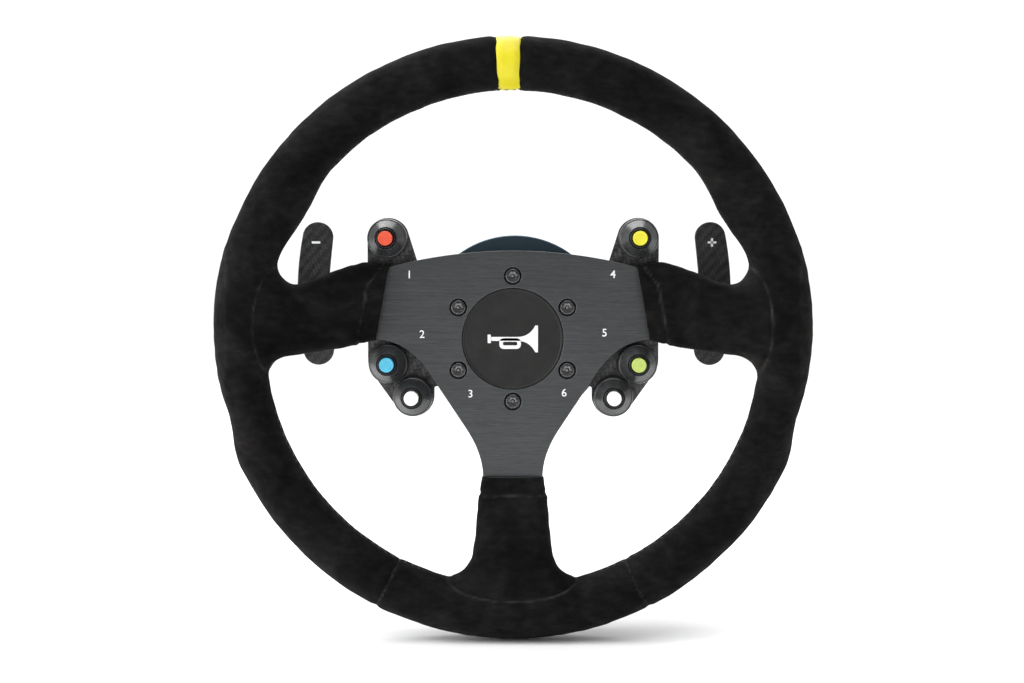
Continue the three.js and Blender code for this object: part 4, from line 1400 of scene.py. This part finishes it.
def cap_screw(x, z, top, seat, radius, socket, end, facing=1):
    """Round-headed screw with a six-sided socket; its head's top faces the driver or away."""
    bottom = top - facing * 0.6 * abs(top - seat)
    ring = plate([circle(x, z, radius * 0.86, 28), circle(x, z, socket, 6)],
                 min(bottom, top), max(bottom, top), 0.12)
    shell = [(radius * 0.84, seat), (radius, seat), (radius, top - facing * 0.35),
             (radius * 0.84, top - facing * 0.05)]
    head = lathe(shell, 0.2, segments=32, at=(x, z))
    shank = lathe([(0, bottom), (radius * 0.85, bottom), (radius * 0.85, seat),
                   (radius * 0.55, seat), (radius * 0.55, end), (0, end)],
                  0.05, closed=False, segments=24, at=(x, z))
    return joined(head, ring, shank)


def housing(side):
    """Machined block with a slot for the lever's tongue, bored for the two dowels."""
    def slice_of(x0, x1, z0, z1, holes=()):
        block = rectangle(x0, HOUSING_REAR, x1, HOUSING_FRONT)
        return plate([soften(block, 0.8, True), *holes], z0, z1, 0.35, upright=True)

    dowels = [circle(*PIVOT, 2.15, 32), circle(*STOP_PIN, 2.15, 32)]
    cheeks = [slice_of(27, 59.5, 7.5, HOUSING_HALF, dowels),
              slice_of(27, 59.5, -HOUSING_HALF, -7.5, dowels)]
    web = slab((27.4, HOUSING_REAR + 0.5, -7.6), (36.2, HOUSING_FRONT - 0.4, 7.6), 0)
    roof = slab((27.4, 113.5, -7.6), (59.1, HOUSING_FRONT - 0.4, 7.6), 0)
    return mirrored(joined(*cheeks, web, roof), side)


def dowel(x):
    length = HOUSING_HALF + GAP
    return plate([circle(x, PIVOT[1], 2.0, 40)], -length, length, 0.3, upright=True)


def make_paddles():
    for side in SIDES:
        s = SIDES[side]
        piece(f"paddle_blade_{side}_twill", blade(side), FINE_CARBON, [f"paddle_blade_{side}"],
              body=f"paddle_{side}")
        piece(f"paddle_lever_{side}_milled", lever(side), BLUE_GREY, [f"paddle_lever_{side}"],
              body=f"paddle_{side}")
        piece(f"paddle_screws_{side}", blade_screws(side), BLACK_STEEL, body=f"paddle_{side}")
        piece(f"shifter_housing_{side}_block", housing(side), BLACK_TURNED,
              [f"shifter_housing_{side}"])
        for kind, x in (("pivot", PIVOT[0]), ("stop", STOP_PIN[0])):
            piece(f"shifter_{kind}_pin_{side}_dowel", dowel(s * x), STEEL,
                  [f"shifter_{kind}_pin_{side}"])


# ------------------------------------------------------------------ quick release

FLANGE_RADIUS = high("column_flange")[0]
BOSS_RADIUS = 20.0
SLEEVE_RADIUS = 36.0
SLEEVE_BORE = 33.3
SLEEVE_STROKE = 5.0
BARREL_RADIUS = 29.5
SPIGOT_RADIUS = 25.0
NOSE_RADIUS = 22.0
SPLINE_TEETH = 12
RING_SCREW_CIRCLE = 33
RING_SCREW_ANGLES = (45, 135, 225, 315)
FLANGE_SCREW_CIRCLE = 52
FLANGE_SCREW_ANGLES = (30, 150, 270)
ADAPTOR_RADIUS = 46
SLEEVE_REAR, SLEEVE_FRONT = rear("release_sleeve"), front("release_sleeve")
RING_FRONT = front("sleeve_end_ring")
ADAPTOR_REAR = 118.2


def column_flange():
    """Disc with a boss behind it, a bored centre and a groove in its face."""
    return lathe([
        (8.5, 0), (BOSS_RADIUS, 0), (BOSS_RADIUS, 10), (FLANGE_RADIUS, 10), (FLANGE_RADIUS, 30),
        (44.5, 30), (44.2, 29.5), (42.6, 29.5), (42.3, 30), (8.5, 30),
    ], 0.9, segments=144)


def flange_screws():
    return joined(*(cap_screw(*on_circle(FLANGE_SCREW_CIRCLE, angle), 31.3, 30.0, 1.9, 1.0, 26)
                    for angle in FLANGE_SCREW_ANGLES))


def spline_ring(inner, outer, back, face, internal):
    """A ring with straight splines on its inside or its outside."""
    if internal:
        teeth = toothed(inner, outer, SPLINE_TEETH, 5.6)
        return plate([circle(0, 0, outer + 2.2, 72), teeth], back, face, 0.25)
    teeth = toothed(inner, outer, SPLINE_TEETH, 3.8)
    return plate([teeth, circle(0, 0, 12, 48)], back, face, 0.35)


def receiver():
    body = lathe([
        (12.2, 30.3), (30, 30.3), (30, 35), (25, 35.8), (25, 38), (33, 38.8), (33, 45.7),
        (BARREL_RADIUS, 45.7), (BARREL_RADIUS, 67.8), (28.3, 67.8), (28.3, 70.2),
        (BARREL_RADIUS, 70.2), (BARREL_RADIUS, 71.5), (26.8, 71.5), (26.8, 60), (24.4, 60),
        (24.4, 46.2), (12.2, 46.2),
    ], 0.5, segments=96)
    return joined(body, spline_ring(20, NOSE_RADIUS + GAP, 46.2, 58, True))


def lock_collet():
    """Split ring whose fingers hold the groove of the wheel's nose."""
    build = bmesh.new()
    build.from_mesh(lathe([
        (22.6, 60.3), (26.5, 60.3), (26.5, 74.8), (20.8, 74.8), (20.8, 72.2), (22.6, 72.0),
    ], 0.4, segments=160))
    slots = [45 * k + 22.5 for k in range(8)]
    gone = []
    slot_half, slot_rear = 2.2, 63.5
    for face in build.faces:
        x, y, z = face.calc_center_median() / MM
        turn = math.degrees(math.atan2(z, x)) % 360
        nearest = min(abs((turn - slot + 180) % 360 - 180) for slot in slots)
        if nearest < slot_half and -y > slot_rear:
            gone.append(face)
    bmesh.ops.delete(build, geom=gone, context="FACES")
    mesh = bpy.data.meshes.new("collet")
    build.to_mesh(mesh)
    build.free()
    return mesh


def release_sleeve():
    """Outer sleeve: stepped tail and two grip grooves; the oval window low on its side is the
    separate window() piece.
    """
    groove_floor = SLEEVE_RADIUS - 0.9
    r = SLEEVE_RADIUS
    return lathe([
        (SLEEVE_BORE, SLEEVE_REAR), (groove_floor, SLEEVE_REAR), (r, SLEEVE_REAR + 0.9),
        (r, 43), (groove_floor, 43.5), (groove_floor, 44.9), (r, 45.4), (r, 47.6),
        (groove_floor, 48.1), (groove_floor, 49.5), (r, 50), (r, SLEEVE_FRONT),
        (SLEEVE_BORE, SLEEVE_FRONT), (SLEEVE_BORE, 50), (BARREL_RADIUS + GAP, 50),
        (BARREL_RADIUS + GAP, 46), (SLEEVE_BORE, 46),
    ], 0.5, segments=144)


def window():
    """Dark oval slot in the sleeve's lower side, with its milled edge."""
    points = []
    steps, half_length, half_width, middle_depth = 40, 6, 2.6, 65
    rings = ((1.0, 0.25), (0.93, 0.05), (0.88, -1.6), (0.0, -1.6))
    for scale, depth in rings:
        for k in range(steps):
            a, b = on_circle(1, 360 * k / steps)
            angle = math.radians(-90) + a * scale * half_length / SLEEVE_RADIUS
            radius = SLEEVE_RADIUS + depth
            points.append((radius * math.cos(angle), middle_depth + b * scale * half_width,
                           radius * math.sin(angle)))
    return to_mesh("window", points, quads(len(rings), steps))


def end_ring():
    r = SLEEVE_RADIUS + 1.5
    back = SLEEVE_FRONT + GAP
    ring = lathe([
        (33.0, back), (r, back), (r, back + 2.1), (r - 1.3, back + 2.3), (r - 1.3, back + 2.9),
        (r, back + 3.1), (r, RING_FRONT), (33.0, RING_FRONT),
    ], 0.45, segments=144)
    holes = holes_round(RING_SCREW_CIRCLE, RING_SCREW_ANGLES, 1.7, 20)
    face = plate([circle(0, 0, 34.5, 120), circle(0, 0, 26.9, 96), *holes], back + 0.2,
                 RING_FRONT, 0.3)
    return joined(face, ring)


def adaptor():
    """Bolted flange, spigot and splined nose in one piece."""
    body = lathe([
        (12, 58.6), (NOSE_RADIUS, 58.6), (NOSE_RADIUS, 71.9), (20.5, 71.9), (20.5, 75.1),
        (NOSE_RADIUS, 75.1), (NOSE_RADIUS, 80), (SPIGOT_RADIUS, 80), (SPIGOT_RADIUS, 116.8),
        (26.4, ADAPTOR_REAR), (ADAPTOR_RADIUS, ADAPTOR_REAR),
        (ADAPTOR_RADIUS, BRACKET_REAR - GAP),
        (12, BRACKET_REAR - GAP),
    ], 0.6, segments=120)
    pad = Outline(-23.7, -39)
    pad.arc((0, 0), ADAPTOR_RADIUS, 239, 301).arc((0, 0), ADAPTOR_RADIUS, 59, 121)
    bolts = holes_round(BOLT_CIRCLE, (90, 270), 2.7)
    raised = plate([pad.points[1:], circle(0, 0, 12, 48), *bolts], BRACKET_REAR - 0.4,
                   BRACKET_FRONT, 0.3)
    return joined(body, spline_ring(19.7, NOSE_RADIUS, 46.5, 58.7, False), raised)


def hub_spacer():
    bolts = holes_round(BOLT_CIRCLE, BOLT_ANGLES, 2.8)
    return plate([circle(0, 0, 45, 120), circle(0, 0, CAP_RADIUS - 1.7, 96), *bolts],
                 BRACKET_FRONT + GAP, PLATE_REAR - GAP, 0.35)


def connector(radius, back, face, pins_back):
    """Round plug face with eight contact pins."""
    body = lathe([(0, back), (radius, back), (radius, face), (0, face)], 0.6, closed=False,
                 segments=64)
    pins = []
    for k in range(8):
        x, z = on_circle(radius * 0.55, 45 * k)
        start = back - 0.1 if pins_back else face - 1
        pins.append(lathe([(0, start), (0.6, start), (0.6, start + 1.1), (0, start + 1.1)],
                          0.2, closed=False, segments=16, at=(x, z)))
    return joined(body, *pins)


def return_spring():
    """Wire coil round the barrel, at the length it has when the sleeve is pushed home."""
    wire, turns, steps = 0.9, 4, 96
    back = rear("sleeve_spring") + wire
    face = rear("retaining_ring") - SLEEVE_STROKE - 2 * wire
    path = []
    for k in range(steps + 1):
        x, z = on_circle((BARREL_RADIUS + SLEEVE_BORE) / 2, 360 * turns * k / steps)
        path.append((x, mix(back, face, k / steps), z))
    points, faces = thread(path, wire, 12)
    return to_mesh("spring", points, faces)


def make_quick_release():
    hub, sleeve = "column_hub", "release_sleeve"
    piece("column_flange_turned", column_flange(), BLUE_GREY, ["column_flange"], hub)
    piece("column_flange_screws", flange_screws(), BLACK_STEEL, body=hub)
    piece("qr_receiver_turned", receiver(), BLACK_TURNED, ["qr_receiver"], hub)
    piece("lock_collet_fingers", lock_collet(), STEEL, ["lock_collet"], hub)
    piece("column_connector_plug", connector(11.8, 32, 46.2, False), PLASTIC,
          ["column_connector"], hub)
    piece("release_sleeve_turned", release_sleeve(), BLUE_GREY, ["release_sleeve"], sleeve)
    piece("release_sleeve_window", window(), RUBBER, body=sleeve)
    piece("sleeve_end_ring_turned", end_ring(), BLUE_GREY, ["sleeve_end_ring"], sleeve)
    for i, angle in enumerate(RING_SCREW_ANGLES):
        x, z = on_circle(RING_SCREW_CIRCLE, angle)
        screw = cap_screw(x, z, RING_FRONT + 3.1, RING_FRONT + 0.3, 2.3, 1.2, 73.3)
        piece(f"ring_screw_{i + 1}_head", screw, BLACK_STEEL, [f"ring_screw_{i + 1}"], sleeve)
    piece("wheel_adaptor_turned", adaptor(), BLACK_TURNED, ["wheel_adaptor"])
    piece("wheel_connector_plug", connector(11.7, 46.7, 60, True), PLASTIC, ["wheel_connector"])
    piece("hub_spacer_turned", hub_spacer(), BLACK_TURNED, ["hub_spacer"])
    piece("sleeve_spring_coil", return_spring(), STEEL, ["sleeve_spring"], sleeve)
    finish_node("retaining_ring", STEEL)


# ------------------------------------------------------------------ printed marks

INK = 0.06


def numeral(text, x, z, height):
    """A printed number on the plate's face."""
    letters = bpy.data.curves.new("numeral", "FONT")
    letters.body = text
    letters.align_x = "CENTER"
    letters.align_y = "CENTER"
    letters.size = height / 0.69
    letters.extrude = INK / 2
    letters.offset = 0.05
    holder = bpy.data.objects.new("numeral", letters)
    mesh = bpy.data.meshes.new_from_object(holder)
    bpy.data.objects.remove(holder)
    for vertex in mesh.vertices:
        a, b, c = vertex.co
        vertex.co = ((x + a) * MM, -(PLATE_FRONT + 0.02 + INK / 2 + c) * MM, (z + b) * MM)
    return facing_out(mesh)


def horn_symbol():
    """The plain horn pictogram used on steering wheels."""
    face = PLATE_FRONT - 0.44
    bell = Outline(-12, -1.1).line(3, -1.1).curve((9.5, -1.4), (12.5, -7.5)).line(14, -7.5)
    bell.line(14, 7.5).line(12.5, 7.5).curve((9.5, 1.4), (3, 1.1)).line(-12, 1.1)
    coil = rectangle(-7.5, -5.6, 4.5, 0.4, 2.9)
    hole = rectangle(-5.5, -3.6, 2.5, -1.6, 0.95)
    mouth = rectangle(-14, -2.4, -12.2, 2.4, 0.5)
    shapes = [[bell.points], [coil, hole], [mouth]]
    return joined(*(plate(shape, face, face + INK, 0.01) for shape in shapes))


def paddle_sign(side):
    """A plus or a minus printed on the driver's side of a paddle."""
    s = SIDES[side]
    x, z = s * (BLADE_X + 1), 54.0
    bars = [rectangle(x - 2.5, z - 0.65, x + 2.5, z + 0.65, 0.2)]
    if side == "right":
        bars.append(rectangle(x - 0.65, z - 2.5, x + 0.65, z + 2.5, 0.2))
    return joined(*(plate([bar], BLADE_FRONT + 0.01, BLADE_FRONT + 0.01 + INK, 0.01)
                    for bar in bars))


def make_marks():
    places = [(-57.5, 35.6), (-50.5, 2.4), (-23.6, -30.8), (55.6, 35.8), (51.0, 3.3),
              (28.6, -30.2)]
    numbers = joined(*(numeral(str(i + 1), x, z, 4.2) for i, (x, z) in enumerate(places)))
    piece("plate_numerals", numbers, PRINT, crisp=30)
    piece("horn_symbol", horn_symbol(), PRINT, crisp=30)
    for side in SIDES:
        piece(f"paddle_sign_{side}", paddle_sign(side), PRINT, body=f"paddle_{side}", crisp=30)


# ------------------------------------------------------------------ stage, light and camera

def stage_look():
    look = Look("pale floor", 0.7)
    look.mottled(3, (0.95, 0.95, 0.95), (0.97, 0.97, 0.97))
    look.bump(look.noise(60, 3), 0.0002, 0.2)
    return look.material


def make_floor():
    """A pale floor that runs on to the horizon."""
    ground = CAD_BOX[0].z - 0.0004
    reach = 60.0
    points = [(x, y, ground) for x, y in
              ((-reach, -reach), (reach, -reach), (reach, reach), (-reach, reach))]
    faces = [(0, 1, 2, 3)]
    mesh = bpy.data.meshes.new("floor")
    mesh.from_pydata(points, [], faces)
    mesh.shade_smooth()
    floor = linked("floor", mesh)
    mesh.materials.append(stage_look())


def soft_light(name, place, target, size, power):
    lamp = bpy.data.lights.new(name, "AREA")
    lamp.shape = "RECTANGLE"
    lamp.size, lamp.size_y = size
    lamp.energy = power
    holder = linked(name, lamp)
    holder.location = place
    holder.rotation_euler = (Vector(target) - Vector(place)).to_track_quat("-Z", "Y").to_euler()


def make_light():
    """A soft overhead light in a white studio that is dimmer on the photographer's side."""
    world = bpy.data.worlds.new("studio")
    bpy.context.scene.world = world
    world.use_nodes = True
    tree = world.node_tree
    background = tree.nodes["Background"]
    background.inputs["Color"].default_value = (1.0, 1.0, 1.0, 1)
    direction = tree.nodes.new("ShaderNodeTexCoord")
    split = tree.nodes.new("ShaderNodeSeparateXYZ")
    tree.links.new(direction.outputs["Generated"], split.inputs[0])
    dim = tree.nodes.new("ShaderNodeMapRange")
    for name, value in (("From Min", -1.0), ("From Max", 0.2), ("To Min", 0.22), ("To Max", 0.70)):
        dim.inputs[name].default_value = value
    tree.links.new(split.outputs["Y"], dim.inputs["Value"])
    path = tree.nodes.new("ShaderNodeLightPath")
    seen = tree.nodes.new("ShaderNodeMix")
    seen.inputs[3].default_value = 1.15
    tree.links.new(path.outputs["Is Camera Ray"], seen.inputs[0])
    tree.links.new(dim.outputs[0], seen.inputs[2])
    tree.links.new(seen.outputs[0], background.inputs["Strength"])
    soft_sun((0.0, -0.30, 1.0), 1.85, 58)
    soft_light("left softbox", (-1.3, -0.5, 0.4), (0, -0.1, 0), (0.6, 1.2), 20)
    soft_light("back softbox", (-0.15, 0.65, 1.05), (0, 0, 0), (1.2, 0.6), 13)
    bpy.context.scene.view_settings.view_transform = "Standard"


def soft_sun(towards, strength, angle):
    lamp = bpy.data.lights.new("overhead light", "SUN")
    lamp.energy = strength
    lamp.angle = math.radians(angle)
    holder = linked("overhead light", lamp)
    holder.rotation_euler = Vector(towards).to_track_quat("Z", "Y").to_euler()


# The camera stands in front of the plate, a little right of and above its centre.
CAMERA_PLACE = (0.0095, -0.988, 0.0461)
CAMERA_PITCH, CAMERA_YAW = -3.2, 0.67
CAMERA_LENS = 53.8


def make_camera():
    camera = bpy.data.cameras.new("camera")
    camera.lens = CAMERA_LENS
    camera.sensor_width = 36
    holder = linked("camera", camera)
    holder.location = CAMERA_PLACE
    holder.rotation_euler = [math.radians(a) for a in (90 + CAMERA_PITCH, 0, CAMERA_YAW)]
    bpy.context.scene.camera = holder


make_covering()
make_stitching()
foam_core()
make_hub_front()
make_pods()
make_paddles()
make_quick_release()
make_marks()
make_floor()
make_light()
make_camera()
